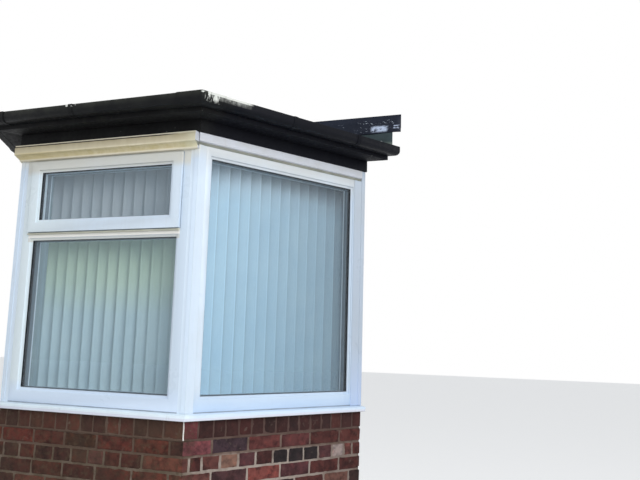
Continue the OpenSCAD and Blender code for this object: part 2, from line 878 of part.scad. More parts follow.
front_wall();
left_wall();
right_wall();
edge_course();
floor_slab();
plaster_lining();
skirting_boards();
window_boards();
front_sill();
left_sill();
right_sill();
front_frame();
left_frame();
right_frame();
corner_posts();
cover_strips();
opener_sash();
opener_handle();
glazing_beads();
glazing_gaskets();
front_glass();
opener_glass();
left_glass();
right_glass();
spacer_bars();
head_trims();
head_beams();
wall_plate();
ceiling_board();
frieze_boards();
soffit_boards();
fascia_boards();
roof_deck();
roof_felt();
cover_flashing();
front_gutter();
left_gutter();
right_gutter();
gutter_corners();
gutter_clips();
blind_rails();
blind_brackets();
front_blind();
left_blind();
right_blind();
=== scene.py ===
"""Looks of the three-sided bay window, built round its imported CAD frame."""
import json
import math
import random

import bmesh
import bpy
from mathutils import Matrix, Vector, noise


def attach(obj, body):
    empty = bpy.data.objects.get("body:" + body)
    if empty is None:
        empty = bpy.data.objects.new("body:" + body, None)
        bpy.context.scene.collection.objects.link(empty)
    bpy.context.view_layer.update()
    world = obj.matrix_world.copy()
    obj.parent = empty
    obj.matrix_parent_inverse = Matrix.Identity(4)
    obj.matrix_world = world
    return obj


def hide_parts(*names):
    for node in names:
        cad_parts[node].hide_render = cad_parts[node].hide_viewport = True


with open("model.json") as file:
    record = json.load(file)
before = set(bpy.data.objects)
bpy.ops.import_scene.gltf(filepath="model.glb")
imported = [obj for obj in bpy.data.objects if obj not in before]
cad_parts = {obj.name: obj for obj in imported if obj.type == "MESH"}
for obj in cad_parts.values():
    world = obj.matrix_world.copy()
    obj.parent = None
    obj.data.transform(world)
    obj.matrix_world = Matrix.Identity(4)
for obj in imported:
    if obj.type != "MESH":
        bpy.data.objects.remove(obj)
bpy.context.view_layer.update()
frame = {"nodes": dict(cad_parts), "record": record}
rng = random.Random(11)

# Sizes that repeat the CAD's, in metres
FRONT_LEN, RETURN_LEN, SPLAY = 1.125, 1.150, math.radians(60)
HALF_FRONT = FRONT_LEN / 2
PROJECTION = RETURN_LEN * math.sin(SPLAY)
HALF_WALL = HALF_FRONT + RETURN_LEN * math.cos(SPLAY)
MITRE = math.tan(SPLAY / 2)
WALL_T, WALL_TOP, COURSE_H, JOINT = 0.215, 0.99125, 0.07625, 0.010
SILL_Z, FRAME_Z, TRANSOM_Z, FRAME_TOP = 1.0875, 1.1215, 2.0235, 2.4615
SASH_X, SASH_Z0, SASH_Z1 = 0.4742, 2.0250, 2.4135
TRIM_Z0, TRIM_Z1, FLAT_TRIM_Z0 = 2.4245, 2.5095, 2.4475
EAVES_OUT, GUTTER_OUT, GUTTER_R, GUTTER_Z0, GUTTER_TOP = 0.124, 0.194, 0.026, 2.5985, 2.6525
DECK_Z, ROOF_Z, ROOF_RISE, ROOF_DEPTH = 2.6285, 2.6515, 0.016, 1.1259
FLASHING_X, FLASHING_Z0, FLASHING_Z1, UPSTAND_TOP = 1.3593, 2.7445, 2.8565, 2.7715

# Each side has x along its brick face from its left end, y into the bay and z up
SIDES = {
    "front": (Matrix.Translation((-HALF_FRONT, -PROJECTION, 0)), FRONT_LEN),
    "right": (Matrix.Translation((HALF_FRONT, -PROJECTION, 0)) @ Matrix.Rotation(SPLAY, 4, "Z"),
              RETURN_LEN),
    "left": (Matrix.Translation((-HALF_WALL, 0, 0)) @ Matrix.Rotation(-SPLAY, 4, "Z"), RETURN_LEN),
}


def ends(side, y, short=0.0):
    """The x range of a side at depth y, between its mitre and the back plane or short of that."""
    to_corner, to_back = y * MITRE, y / math.tan(SPLAY) + short
    low = to_back if side == "left" else to_corner
    return low, SIDES[side][1] - (to_back if side == "right" else to_corner)


def steps(low, high, count):
    """Evenly spaced values from low to high."""
    return [low + (high - low) * i / count for i in range(count + 1)]


def ramp(value, start, length):
    """0 up to start, then rising to 1 over a length."""
    return min(1.0, max(0.0, (value - start) / length))


def between(a, b, share):
    """The colour at a share of the way from a to b."""
    return [p + (q - p) * share for p, q in zip(a, b)]


def rgb(r, g, b):
    """A screen colour of 0 to 255 as linear values."""
    return tuple(((c / 255 + 0.055) / 1.055) ** 2.4 if c > 10.3 else c / 255 / 12.92
                 for c in (r, g, b)) + (1.0,)


# Materials

class Nodes:
    """Short calls that add nodes to a tree."""

    def __init__(self, tree):
        self.tree = tree

    def new(self, kind, inputs=None, **settings):
        """A node with its settings, and a value or a link in each input that is named."""
        node = self.tree.nodes.new("ShaderNode" + kind)
        for key, value in settings.items():
            setattr(node, key, value)
        for key, value in (inputs or {}).items():
            self.put(node.inputs[key], value)
        return node

    def put(self, socket, value):
        if isinstance(value, bpy.types.NodeSocket):
            self.tree.links.new(value, socket)
        elif isinstance(value, tuple) and len(value) == 3 and len(socket.default_value) == 4:
            socket.default_value = value + (1.0,)
        else:
            socket.default_value = value

    def calc(self, operation, a, b):
        return self.new("Math", {0: a, 1: b}, operation=operation).outputs[0]

    def both(self, *values):
        """The product of masks and amounts."""
        out = values[0]
        for value in values[1:]:
            out = self.calc("MULTIPLY", out, value)
        return out


class Look(Nodes):
    """One material, in metres of the shared frame: a base colour and the coats laid over it.

    Without a base colour it starts from the tones that the mesh carries.
    """

    def __init__(self, name, colour=None):
        self.material = bpy.data.materials.new(name)
        self.material.use_nodes = True
        super().__init__(self.material.node_tree)
        self.shader = self.tree.nodes["Principled BSDF"]
        self.output = self.tree.nodes["Material Output"]
        self.pos = self.new("TexCoord").outputs["Object"]
        self.x, _, self.z = self.new("SeparateXYZ", {0: self.pos}).outputs
        self.colour = colour or self.new("VertexColor", layer_name="tone").outputs[0]

    def noise(self, scale, detail=4.0, rough=0.55, squeeze=None, warp=0.0):
        """Cloudy noise, finer along an axis where squeeze is over 1."""
        at = self.pos
        if squeeze:
            at = self.new("VectorMath", {0: at, 1: squeeze}, operation="MULTIPLY").outputs[0]
        return self.new("TexNoise", {"Vector": at, "Scale": scale, "Detail": detail,
                                     "Roughness": rough, "Distortion": warp}).outputs["Fac"]

    def cells(self, scale):
        return self.new("TexVoronoi", {"Vector": self.pos, "Scale": scale}).outputs["Distance"]

    def span(self, value, low, high, out_low=0.0, out_high=1.0):
        """out_low up to low, out_high from high on, and even between."""
        return self.new("MapRange", {"Value": value, "From Min": low, "From Max": high,
                                     "To Min": out_low, "To Max": out_high}, clamp=True).outputs[0]

    def up(self, low, high, out_low=0.0, out_high=1.0):
        """The same by height."""
        return self.span(self.z, low, high, out_low, out_high)

    def band(self, value, low, high, soft):
        """1 between low and high, falling to 0 over soft on either side."""
        return self.both(self.span(value, low - soft, low), self.span(value, high, high + soft, 1, 0))

    def mix(self, factor, a, b, blend="MIX"):
        return self.new("Mix", {0: factor, 6: a, 7: b}, data_type="RGBA",
                        blend_type=blend).outputs[2]

    def coat(self, colour, *masks, blend="MIX"):
        """Lays a colour over the look's colour, by the product of the masks."""
        self.colour = self.mix(self.both(*masks), self.colour, colour, blend)

    def bump(self, height, strength, distance):
        return self.new("Bump", {"Height": height, "Strength": strength,
                                 "Distance": distance}).outputs[0]

    def distance(self, side, axis):
        """Distance from a side's left end along a direction."""
        dot = self.new("VectorMath", {0: self.pos, 1: axis}, operation="DOT_PRODUCT")
        start = axis.dot(SIDES[side][0].translation)
        return self.calc("SUBTRACT", dot.outputs["Value"], start)

    def along(self, side):
        """Distance along a side's brick face, from its left end."""
        return self.distance(side, SIDES[side][0].col[0].xyz)

    def out_of(self, side):
        """Distance out of a side's brick face."""
        return self.distance(side, -SIDES[side][0].col[1].xyz)

    def front_face(self):
        """1 on the front's brick face and just behind it."""
        return self.band(self.out_of("front"), -0.05, 0.01, 0.01)

    def finish(self, roughness, normal=None, specular=0.5):
        sockets = {"Base Color": self.colour, "Roughness": roughness, "Specular IOR Level": specular}
        if normal:
            sockets["Normal"] = normal
        for key, value in sockets.items():
            self.put(self.shader.inputs[key], value)
        return self.material


def brick_look():
    """Worn brick: dark and light blotches over each brick's tone, with soot and smeared mortar."""
    t = Look("brick")
    tone = t.colour
    grain = t.noise(420, 3, 0.7)
    streak = t.noise(60, 4, 0.65, (1, 1, 2.2), 0.6)
    for texture, low, high, amount, tint in (
            (t.noise(22, 5, 0.65), 0.42, 0.66, 0.9, (0.42, 0.42, 0.46)),
            (t.noise(11, 4, 0.6), 0.50, 0.66, 0.7, (0.6, 0.58, 0.55)),
            (t.noise(26, 4, 0.6), 0.52, 0.70, 0.8, (1.55, 1.25, 1.2)),
            (streak, 0.55, 0.78, 0.8, (1.3, 1.2, 1.15)),
            (t.noise(34, 4, 0.6), 0.58, 0.70, 0.8, (0.5, 0.5, 0.55)),
            (grain, 0.6, 0.8, 0.8, (1.5, 1.45, 1.4))):
        t.coat(tint, t.span(texture, low, high, 0, amount), blend="MULTIPLY")
    even = t.mix(1.0, tone, (0.82, 0.80, 0.78), "MULTIPLY")
    t.coat(even, t.up(WALL_TOP, WALL_TOP + 0.01, 0, 0.5))
    front = t.front_face()
    t.coat(rgb(58, 47, 40), t.span(t.noise(5, 3, 0.5), 0.40, 0.62), front, 0.5)
    t.coat(rgb(80, 66, 51), t.span(t.noise(40, 5, 0.7), 0.49, 0.60),
           t.span(t.noise(9, 3), 0.38, 0.55, 0.25, 1), front, 0.5)
    t.coat(rgb(118, 104, 94), t.span(t.noise(46, 4, 0.65), 0.58, 0.70),
           t.span(t.noise(7, 2), 0.48, 0.62), 0.35)
    height = t.calc("ADD", t.both(t.noise(260, 4, 0.65), 0.6), t.both(streak, 0.5))
    return t.finish(t.span(grain, 0.3, 0.7, 0.82, 0.97), t.bump(height, 0.75, 0.0022), 0.25)


def mortar_look():
    """Mortar, with painted light and shade: paler low on the right return, browner and darker on the
    front and along the top under the sill, darker towards the right return's back.
    """
    t = Look("mortar", rgb(116, 101, 92))
    grit = t.noise(380, 3, 0.75)
    t.coat(rgb(158, 141, 130), t.span(t.noise(9, 5, 0.6), 0.35, 0.65))
    t.coat(rgb(190, 176, 164), t.span(grit, 0.58, 0.75, 0, 0.5))
    t.coat(rgb(80, 66, 58), t.span(t.noise(24, 4, 0.6), 0.50, 0.66, 0, 0.75))
    # Painted shade: browner and darker on the front, which lies in shade
    t.coat(rgb(80, 69, 53), t.front_face(), t.span(t.noise(6, 3), 0.35, 0.6, 0.9, 0.5))
    top_low, top_high = WALL_TOP - 0.085, WALL_TOP - 0.070
    on_right = t.span(t.along("right"), 0.0, 0.03)
    # Painted light: paler low on the right return
    t.coat(rgb(166, 154, 145), on_right, t.up(top_low, top_high, 1, 0),
           t.span(t.noise(14, 3), 0.38, 0.58, 0.3, 0.9))
    # Painted shade under the sill along the top, deepest on the right return
    t.coat(rgb(88, 68, 60), t.up(top_low, top_high), 0.6)
    t.coat(rgb(74, 53, 50), t.up(WALL_TOP - 0.002, WALL_TOP + 0.012), on_right, 0.75)
    # Painted shade towards the right return's back
    t.coat(rgb(86, 70, 64), t.span(t.along("right"), 0.65, 1.0, 0, 0.5))
    height = t.calc("ADD", grit, t.noise(120, 3, 0.6))
    return t.finish(0.93, t.bump(height, 0.8, 0.0015), 0.2)


def frame_zones(t):
    """How the frames' white shifts: greyer and cream under the eaves with painted shade, bluer low down
    with painted light, dimmer at the back with painted shade.
    """
    run = t.along("front")
    mild = t.span(t.noise(3.2, 5, 0.6), 0.25, 0.6, 0.7, 1)
    on_front = t.both(t.band(run, 0.004, FRONT_LEN - 0.004, 0.002),
                      t.span(t.out_of("front"), -0.10, -0.09))
    inside = t.both(on_front, t.band(run, 0.0885, FRONT_LEN - 0.0885, 0.001))
    low = t.both(t.up(FRAME_Z + 0.03, FRAME_Z + 0.12, 0.85, 0), mild)
    t.coat(rgb(225, 237, 242), on_front, t.span(run, 0.05, 0.5, 1, 0))
    t.coat(rgb(205, 220, 235), on_front, t.span(run, 1.02, 1.04))
    # Painted shade at the right frame's back end
    t.coat(rgb(194, 208, 223), t.span(t.along("right"), 1.015, 1.03, 0, 0.85))
    # Painted light: bluer low down, and brighter low on the front against the shade by the sill
    t.coat(rgb(192, 215, 242), low)
    t.coat(rgb(222, 235, 252), low, on_front)
    # Painted shade greys the heads under the eaves
    t.coat(rgb(200, 203, 204), t.up(FRAME_TOP - 0.15, FRAME_TOP - 0.03, 0, 0.85), mild)
    t.coat(rgb(206, 205, 196), on_front, t.up(FRAME_TOP - 0.125, FRAME_TOP - 0.095, 0, 0.85), mild)
    # Painted light brightens the transom bar, which lies in the sash's shadow
    t.coat(rgb(246, 243, 236), inside, t.band(t.z, TRANSOM_Z - 0.028, TRANSOM_Z - 0.002, 0.002), 0.9)
    t.coat(rgb(206, 206, 198), inside, t.band(t.z, TRANSOM_Z - 0.050, TRANSOM_Z - 0.031, 0.002), 0.7)


def post_zones(t):
    """The posts' reeded cover: paler on the right one's front half with painted light, greyer at the
    head with painted shade.
    """
    run = t.along("front")
    t.coat(rgb(224, 239, 254), t.band(run, 0.003, FRONT_LEN - 0.0035, 0.001), t.span(t.x, 0, 0.1))
    t.coat(rgb(204, 217, 231), t.up(FRAME_TOP - 0.20, FRAME_TOP - 0.08, 0, 0.8))
    top = t.mix(t.band(run, -0.002, FRONT_LEN + 0.002, 0.001), rgb(206, 211, 213), rgb(218, 216, 205))
    t.coat(top, t.up(FRAME_TOP - 0.09, FRAME_TOP - 0.03, 0, 0.8))


def strip_zones(t):
    """The strips by the back plane: bluer low down with painted light."""
    t.coat(rgb(188, 207, 238), t.up(FRAME_Z + 0.05, FRAME_Z + 0.35, 0.85, 0))


def bead_zones(t):
    """The narrow faces of the beads against the glass lie in shade."""
    for side, (_, length) in SIDES.items():
        t.coat(rgb(112, 124, 136), t.band(t.out_of(side), -0.0665, -0.040, 0.0005),
               t.band(t.along(side), 0.03, length - 0.03, 0.001))


def plastic_look(name, white, dirty, dirt, zones=None):
    """White plastic: a little dirt in clouds and streaks, and a faint ripple."""
    t = Look(name, white)
    cloud = t.noise(3.2, 5, 0.6)
    runs = t.noise(7, 4, 0.6, (9, 9, 0.5))
    amount = t.calc("ADD", t.span(cloud, 0.42, 0.75, 0, dirt),
                    t.span(runs, 0.52, 0.8, 0, dirt * 0.35))
    t.coat(dirty, t.calc("ADD", amount, t.span(t.noise(300, 2, 0.6), 0.7, 0.76, 0, dirt)))
    if zones:
        zones(t)
    return t.finish(t.span(cloud, 0.3, 0.75, 0.25, 0.46), t.bump(t.noise(11, 2, 0.4), 0.12, 0.003),
                    0.45)


def sill_look():
    """White sills: a nose made pinker by painted reflection of the brick, a lower edge darkened by
    painted shade, and a top made bluer on the right by painted light.
    """
    t = Look("sill_plastic", rgb(232, 246, 255))
    cloud = t.noise(5, 5, 0.65)
    runs = t.noise(10, 4, 0.6, (6, 6, 0.7))
    nose_low, nose_high = SILL_Z + 0.012, SILL_Z + 0.017
    t.coat(rgb(208, 214, 218), t.span(cloud, 0.45, 0.72, 0, 0.3))
    t.coat(rgb(219, 223, 237), t.up(nose_low, nose_high, 1, 0), t.span(cloud, 0.3, 0.6, 0.7, 1))
    t.coat(rgb(212, 230, 250), t.span(t.out_of("right"), -0.04, 0.0),
           t.span(t.along("right"), 0.0, 0.05), t.up(nose_low, nose_high), 0.8)
    t.coat(rgb(176, 178, 174), t.span(runs, 0.58, 0.78, 0, 0.25))
    t.coat(rgb(150, 144, 138), t.up(SILL_Z + 0.001, SILL_Z + 0.004, 1, 0),
           t.span(cloud, 0.3, 0.6, 0.2, 0.7))
    return t.finish(t.span(cloud, 0.3, 0.7, 0.3, 0.5), t.bump(t.noise(60, 3), 0.1, 0.001), 0.45)


def trim_look():
    """Aged cream trim: yellow-tan stains on the front, greener at its right end, grey on the right,
    with painted shadow in its top groove and in the joint under the flat trim.
    """
    t = Look("trim_plastic", rgb(232, 224, 202))
    run = t.along("front")
    cloud = t.noise(7, 5, 0.65, (1, 1, 2.5))
    runs = t.noise(26, 4, 0.6, (1, 1, 0.25))
    t.coat(rgb(214, 204, 176), t.span(cloud, 0.35, 0.7))
    t.coat(rgb(192, 180, 144), t.span(runs, 0.5, 0.75, 0, 0.3))
    t.coat(rgb(188, 174, 124), t.band(t.z, TRIM_Z0 + 0.014, TRIM_Z0 + 0.030, 0.008),
           t.span(runs, 0.35, 0.6, 0.5, 0.8))
    t.coat(rgb(206, 190, 142), t.span(run, 0.1, 0.6, 0.55, 0))
    t.coat(rgb(182, 184, 150), t.span(run, 0.98, 1.10), t.span(cloud, 0.35, 0.6, 0.5, 1), 0.5)
    face = t.mix(t.up(TRIM_Z0 + 0.042, TRIM_Z1 - 0.013), rgb(204, 194, 166), rgb(182, 170, 140))
    t.coat(face, t.band(t.z, TRIM_Z0 + 0.042, TRIM_Z1 - 0.0125, 0.004),
           t.span(runs, 0.3, 0.6, 0.75, 1))
    t.coat(rgb(212, 208, 182), t.span(run, 1.05, 1.10, 0, 0.8), t.span(cloud, 0.3, 0.6, 0.5, 1))
    lip = t.up(TRIM_Z0 + 0.006, TRIM_Z0 + 0.011, 0.75, 0)
    rim = t.up(TRIM_Z1 - 0.0075, TRIM_Z1 - 0.0065, 0, 0.6)
    t.coat(rgb(218, 212, 194), t.calc("MAXIMUM", rim, lip))
    # Painted shadow: a dark line in the groove under the top fillet, fading out at the right end
    t.coat(rgb(54, 43, 34), t.band(t.z, TRIM_Z1 - 0.0125, TRIM_Z1 - 0.0062, 0.0005),
           t.span(run, 0.95, 1.02, 1, 0), t.span(runs, 0.3, 0.6, 0.8, 1))
    flat = t.mix(t.span(cloud, 0.4, 0.72, 0, 0.7), rgb(208, 212, 221), rgb(192, 193, 192))
    flat = t.mix(t.span(runs, 0.58, 0.78, 0, 0.3), flat, rgb(176, 176, 166))
    # The joint under the flat trim: darker with dirt and painted shadow
    joint = t.band(t.z, FLAT_TRIM_Z0 - 0.006, FLAT_TRIM_Z0 + 0.0135, 0.002)
    flat = t.mix(joint, flat, t.mix(t.span(cloud, 0.35, 0.65), rgb(144, 146, 136), rgb(114, 117, 108)))
    t.coat(flat, t.span(t.x, HALF_FRONT - 0.0041, HALF_FRONT - 0.0037))
    return t.finish(t.span(cloud, 0.3, 0.7, 0.42, 0.62), t.bump(t.noise(90, 3), 0.15, 0.001), 0.4)


def black_look(name, base, worn, flakes_and_highlights, rough, specular):
    """Black paint or plastic: dusty clouds, rubbed grey patches and light flaked paint in places, with
    a painted sheen and painted highlights, and painted shade on the right return.
    """
    t = Look(name, base)
    fine = t.noise(55, 4, 0.7)
    runs = t.noise(14, 4, 0.6, (1, 1, 0.3))
    t.coat(worn, t.span(t.noise(6, 5, 0.65), 0.4, 0.7, 0, 0.5))
    t.coat(rgb(48, 50, 44), t.span(runs, 0.56, 0.76, 0, 0.35))
    t.coat(rgb(84, 86, 80), t.span(fine, 0.66, 0.74, 0, 0.3))
    outer = t.span(t.out_of("front"), EAVES_OUT, EAVES_OUT + 0.01, 0.1, 0.6)
    # Painted sheen with some dust: lighter along the gutter's upper front
    t.coat(rgb(58, 60, 54), t.up(GUTTER_TOP - 0.030, GUTTER_TOP - 0.004),
           t.span(runs, 0.35, 0.6, 0.3, 1), outer)
    # Painted shade: darker and bluer on the right return
    t.coat(rgb(8, 10, 20), t.span(t.along("right"), 0.02, 0.10, 0, 0.75))
    # Light flaked paint, and painted highlights where the masks give them
    for masks in flakes_and_highlights(t):
        t.coat(rgb(214, 216, 210), *masks)
    return t.finish(t.span(fine, 0.3, 0.7, rough - 0.08, rough + 0.22), t.bump(fine, 0.35, 0.0012),
                    specular)


def gutter_flakes_and_rim_highlight(t):
    """Old white paint flaking down the corner piece, and a painted highlight as a light line along the
    right gutter's rim.
    """
    along = t.along("right")
    outer = t.span(t.out_of("right"), GUTTER_OUT - 0.012, GUTTER_OUT - 0.008)
    rim = t.both(t.up(GUTTER_TOP - 0.012, GUTTER_TOP - 0.009), outer)
    patch = t.noise(40, 4, 0.65)
    drips = t.noise(30, 4, 0.65, (2.4, 2.4, 0.55))
    yield (outer, t.band(along, -0.03, 0.15, 0.03),
           t.up(GUTTER_TOP - 0.034, GUTTER_TOP - 0.020), t.span(patch, 0.40, 0.60, 0.1, 0.4))
    # Painted highlight along the gutter's rim, on the right and round onto the front
    yield rim, t.band(along, -0.05, 0.16, 0.03), t.span(patch, 0.30, 0.36, 0.2, 1)
    yield rim, t.band(along, -0.112, -0.05, 0.005), t.span(patch, 0.46, 0.50)
    yield (outer, t.band(along, -0.085, -0.012, 0.012), t.span(drips, 0.52, 0.56),
           t.up(GUTTER_TOP - 0.050, GUTTER_TOP - 0.030))
    yield (t.band(t.along("front"), 0.440, 0.500, 0.004),
           t.up(GUTTER_TOP - 0.016, GUTTER_TOP - 0.012), t.span(patch, 0.56, 0.58))
    yield t.span(t.noise(55, 4, 0.7), 0.73, 0.75), 0.5


def board_flakes(t):
    yield t.span(t.noise(48, 4, 0.7), 0.71, 0.73), 0.4


def flashing_look():
    """Navy-black paint with a rubbed, bluish-white patch low down near the right end."""
    t = Look("flashing_metal", rgb(18, 23, 36))
    low = FLASHING_Z0
    fine = t.noise(60, 5, 0.7, (1, 1, 1.6))
    t.coat(rgb(36, 43, 58), t.span(t.noise(5, 5, 0.65), 0.4, 0.7, 0, 0.6))
    rubbed = t.span(t.noise(38, 4, 0.65, (1, 1, 1.8)), 0.38, 0.50)
    patch = t.both(t.band(t.z, low + 0.018, low + 0.042, 0.012), t.band(t.x, 1.185, 1.265, 0.018),
                   rubbed)
    scrap = t.both(t.band(t.z, low + 0.030, low + 0.044, 0.006), t.band(t.x, 1.318, 1.346, 0.008),
                   rubbed)
    t.coat(rgb(182, 194, 218), t.calc("MAXIMUM", patch, scrap))
    t.coat(rgb(190, 200, 214), t.span(fine, 0.61, 0.64), t.band(t.z, low + 0.02, low + 0.075, 0.02),
           t.span(t.x, 0.75, 1.15, 0, 0.9), t.span(t.noise(12, 2), 0.45, 0.55))
    return t.finish(t.span(fine, 0.3, 0.7, 0.5, 0.8), t.bump(fine, 0.35, 0.0015), 0.2)


def felt_look():
    """Grey-green mineral felt with mossy patches, darker where it turns up at the back."""
    t = Look("felt_mineral", rgb(104, 116, 108))
    cloud = t.noise(4, 5, 0.6)
    grains = t.cells(900)
    t.coat(rgb(82, 90, 84), t.span(cloud, 0.35, 0.7))
    t.coat(rgb(150, 158, 150), t.span(grains, 0.2, 0.7, 0.5, 0))
    t.coat(rgb(74, 82, 54), t.span(t.noise(18, 5, 0.7), 0.6, 0.72, 0, 0.7))
    upturn = t.mix(t.span(cloud, 0.4, 0.65), rgb(40, 50, 56), rgb(62, 78, 84))
    t.coat(upturn, t.up(DECK_Z + 0.045, DECK_Z + 0.065, 0, 0.9))
    return t.finish(0.92, t.bump(grains, 0.5, 0.001), 0.2)


def wood_look():
    t = Look("raw_wood", rgb(190, 152, 106))
    grain = t.noise(9, 6, 0.65, (3, 3, 26), 0.8)
    t.coat(rgb(142, 104, 66), t.span(grain, 0.35, 0.68))
    return t.finish(t.span(grain, 0.3, 0.7, 0.6, 0.78), t.bump(grain, 0.3, 0.001), 0.35)


def plain_look(name, light, dark, scale, rough, relief):
    """One colour, darker in clouds and fine specks."""
    t = Look(name, light)
    fine = t.noise(scale * 40, 3, 0.6)
    t.coat(dark, t.span(t.noise(scale, 5, 0.6), 0.35, 0.7))
    t.coat(dark, t.span(fine, 0.62, 0.74, 0, 0.25))
    return t.finish(t.span(fine, 0.3, 0.7, rough - 0.06, rough + 0.06), t.bump(fine, 0.3, relief), 0.35)


def glass_look():
    """Clear sheet: what is behind it shows through, and it mirrors more at a slant."""
    t = Look("pane_glass", rgb(226, 238, 250))
    t.coat(rgb(210, 226, 244), t.span(t.noise(6, 4, 0.6), 0.3, 0.7))
    gloss = t.new("BsdfGlossy", {"Roughness": 0.02, "Color": t.colour})
    clear = t.new("BsdfTransparent", {"Color": rgb(252, 254, 254)})
    slant = t.new("LayerWeight", {"Blend": 0.5}).outputs["Facing"]
    mirrored = t.calc("ADD", t.both(t.calc("POWER", slant, 5.0), 0.95), 0.04)
    join = t.new("MixShader", {0: mirrored, 1: clear.outputs[0], 2: gloss.outputs[0]})
    t.put(t.output.inputs["Surface"], join.outputs[0])
    t.tree.nodes.remove(t.shader)
    return t.material


def vane_look():
    """Woven cloth over the tones painted on the vanes, which hold painted light and shade."""
    t = Look("vane_cloth")
    threads = t.new("TexWave", {"Vector": t.pos, "Scale": 420, "Distortion": 1.2},
                    wave_type="BANDS", bands_direction="Z")
    slub = t.noise(40, 4, 0.6, (9, 9, 1))
    weave = t.calc("ADD", t.both(threads.outputs["Fac"], 0.5), slub)
    cloth = t.mix(t.span(t.noise(3, 3, 0.5), 0.35, 0.7), rgb(252, 254, 255), rgb(240, 245, 250))
    t.coat(t.mix(t.span(slub, 0.45, 0.7, 0, 0.3), cloth, rgb(226, 232, 238)), 1.0, blend="MULTIPLY")
    return t.finish(0.8, t.bump(weave, 0.2, 0.0006), 0.25)


# Painted light: the white of the frames, posts and beads is tinted blue, as under sky light
FRAME_WHITE, FRAME_DIRT = rgb(214, 228, 242), rgb(190, 194, 192)
LOOKS = {
    "brick": brick_look(),
    "mortar": mortar_look(),
    "white_mortar": plain_look("white_mortar", rgb(240, 238, 234), rgb(214, 206, 196), 30, 0.9, 0.001),
    "concrete": plain_look("floor_concrete", rgb(150, 146, 138), rgb(122, 118, 112), 6, 0.85, 0.001),
    "plaster": plain_look("wall_plaster", rgb(226, 223, 212), rgb(210, 206, 194), 3, 0.85, 0.0006),
    "painted_wood": plain_look("painted_wood", rgb(232, 232, 226), rgb(216, 214, 204), 5, 0.4, 0.0004),
    "raw_wood": wood_look(),
    "upvc_sill": sill_look(),
    "upvc_frame": plastic_look("frame_plastic", FRAME_WHITE, rgb(180, 182, 176), 0.3, frame_zones),
    "corner_posts": plastic_look("post_plastic", FRAME_WHITE, FRAME_DIRT, 0.2, post_zones),
    # The cover strips' white is darker than the frames': painted shade by the back plane
    "cover_strips": plastic_look("cover_plastic", rgb(182, 194, 208), rgb(168, 172, 170), 0.35,
                                 strip_zones),
    "glazing_beads": plastic_look("bead_plastic", FRAME_WHITE, FRAME_DIRT, 0.2, bead_zones),
    "upvc_trim": trim_look(),
    "glass": glass_look(),
    "spacer": plain_look("gasket_rubber", rgb(9, 11, 14), rgb(17, 19, 23), 30, 0.6, 0.0003),
    "eaves_black": black_look("eaves_paint", rgb(20, 20, 21), rgb(34, 35, 36), board_flakes, 0.6, 0.11),
    "gutter_black": black_look("gutter_plastic", rgb(18, 19, 21), rgb(36, 37, 36), gutter_flakes_and_rim_highlight,
                               0.42, 0.1),
    "felt": felt_look(),
    "flashing": flashing_look(),
    # Painted shade: the white rail is given a grey, for the shade it hangs in
    "blind_rail": plastic_look("rail_plastic", rgb(150, 156, 164), rgb(136, 138, 138), 0.2),
    "blind_fabric": vane_look(),
    "drip_bar": plain_look("drip_bar_plastic", rgb(200, 198, 182), rgb(174, 174, 156), 9, 0.4, 0.0003),
    # Grey seal, which also stands in for the shadow lines under the frames and round the sash: painted
    # shade
    "seal": plain_look("seal_and_shadow_line", rgb(160, 172, 188), rgb(126, 138, 154), 12, 0.7, 0.0004),
    "zinc": plain_look("nail_zinc", rgb(196, 200, 202), rgb(150, 154, 156), 60, 0.5, 0.0002),
}


# Meshes

def toned_mesh():
    """A new mesh with a layer of tones for its look."""
    bm = bmesh.new()
    bm.loops.layers.float_color.new("tone")
    return bm


def wobble(spot, scale=1.0):
    """Smooth noise of about -1 to 1 at a spot."""
    return noise.noise(Vector(spot) * scale)


def add_piece(name, bm, look, replaced=(), smooth=False):
    mesh = bpy.data.meshes.new(name)
    bm.to_mesh(mesh)
    bm.free()
    mesh.materials.append(LOOKS[look])
    piece = bpy.data.objects.new(name, mesh)
    bpy.context.scene.collection.objects.link(piece)
    for polygon in mesh.polygons:
        polygon.use_smooth = smooth
    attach(piece, "root")
    if replaced:
        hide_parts(*replaced)
    return piece


def soften(piece, width, merge=True):
    """Rounds the edges by modifiers only. Merging flat faces first gives cleaner corners."""
    weld = piece.modifiers.new("weld", "WELD")
    weld.merge_threshold = 0.00002
    if merge:
        flat = piece.modifiers.new("flat", "DECIMATE")
        flat.decimate_type = "DISSOLVE"
        flat.angle_limit = math.radians(0.5)
    bevel = piece.modifiers.new("bevel", "BEVEL")
    bevel.width = width
    bevel.segments = 2
    bevel.limit_method = "ANGLE"
    bevel.angle_limit = math.radians(35)
    bevel.harden_normals = True
    for polygon in piece.data.polygons:
        polygon.use_smooth = True


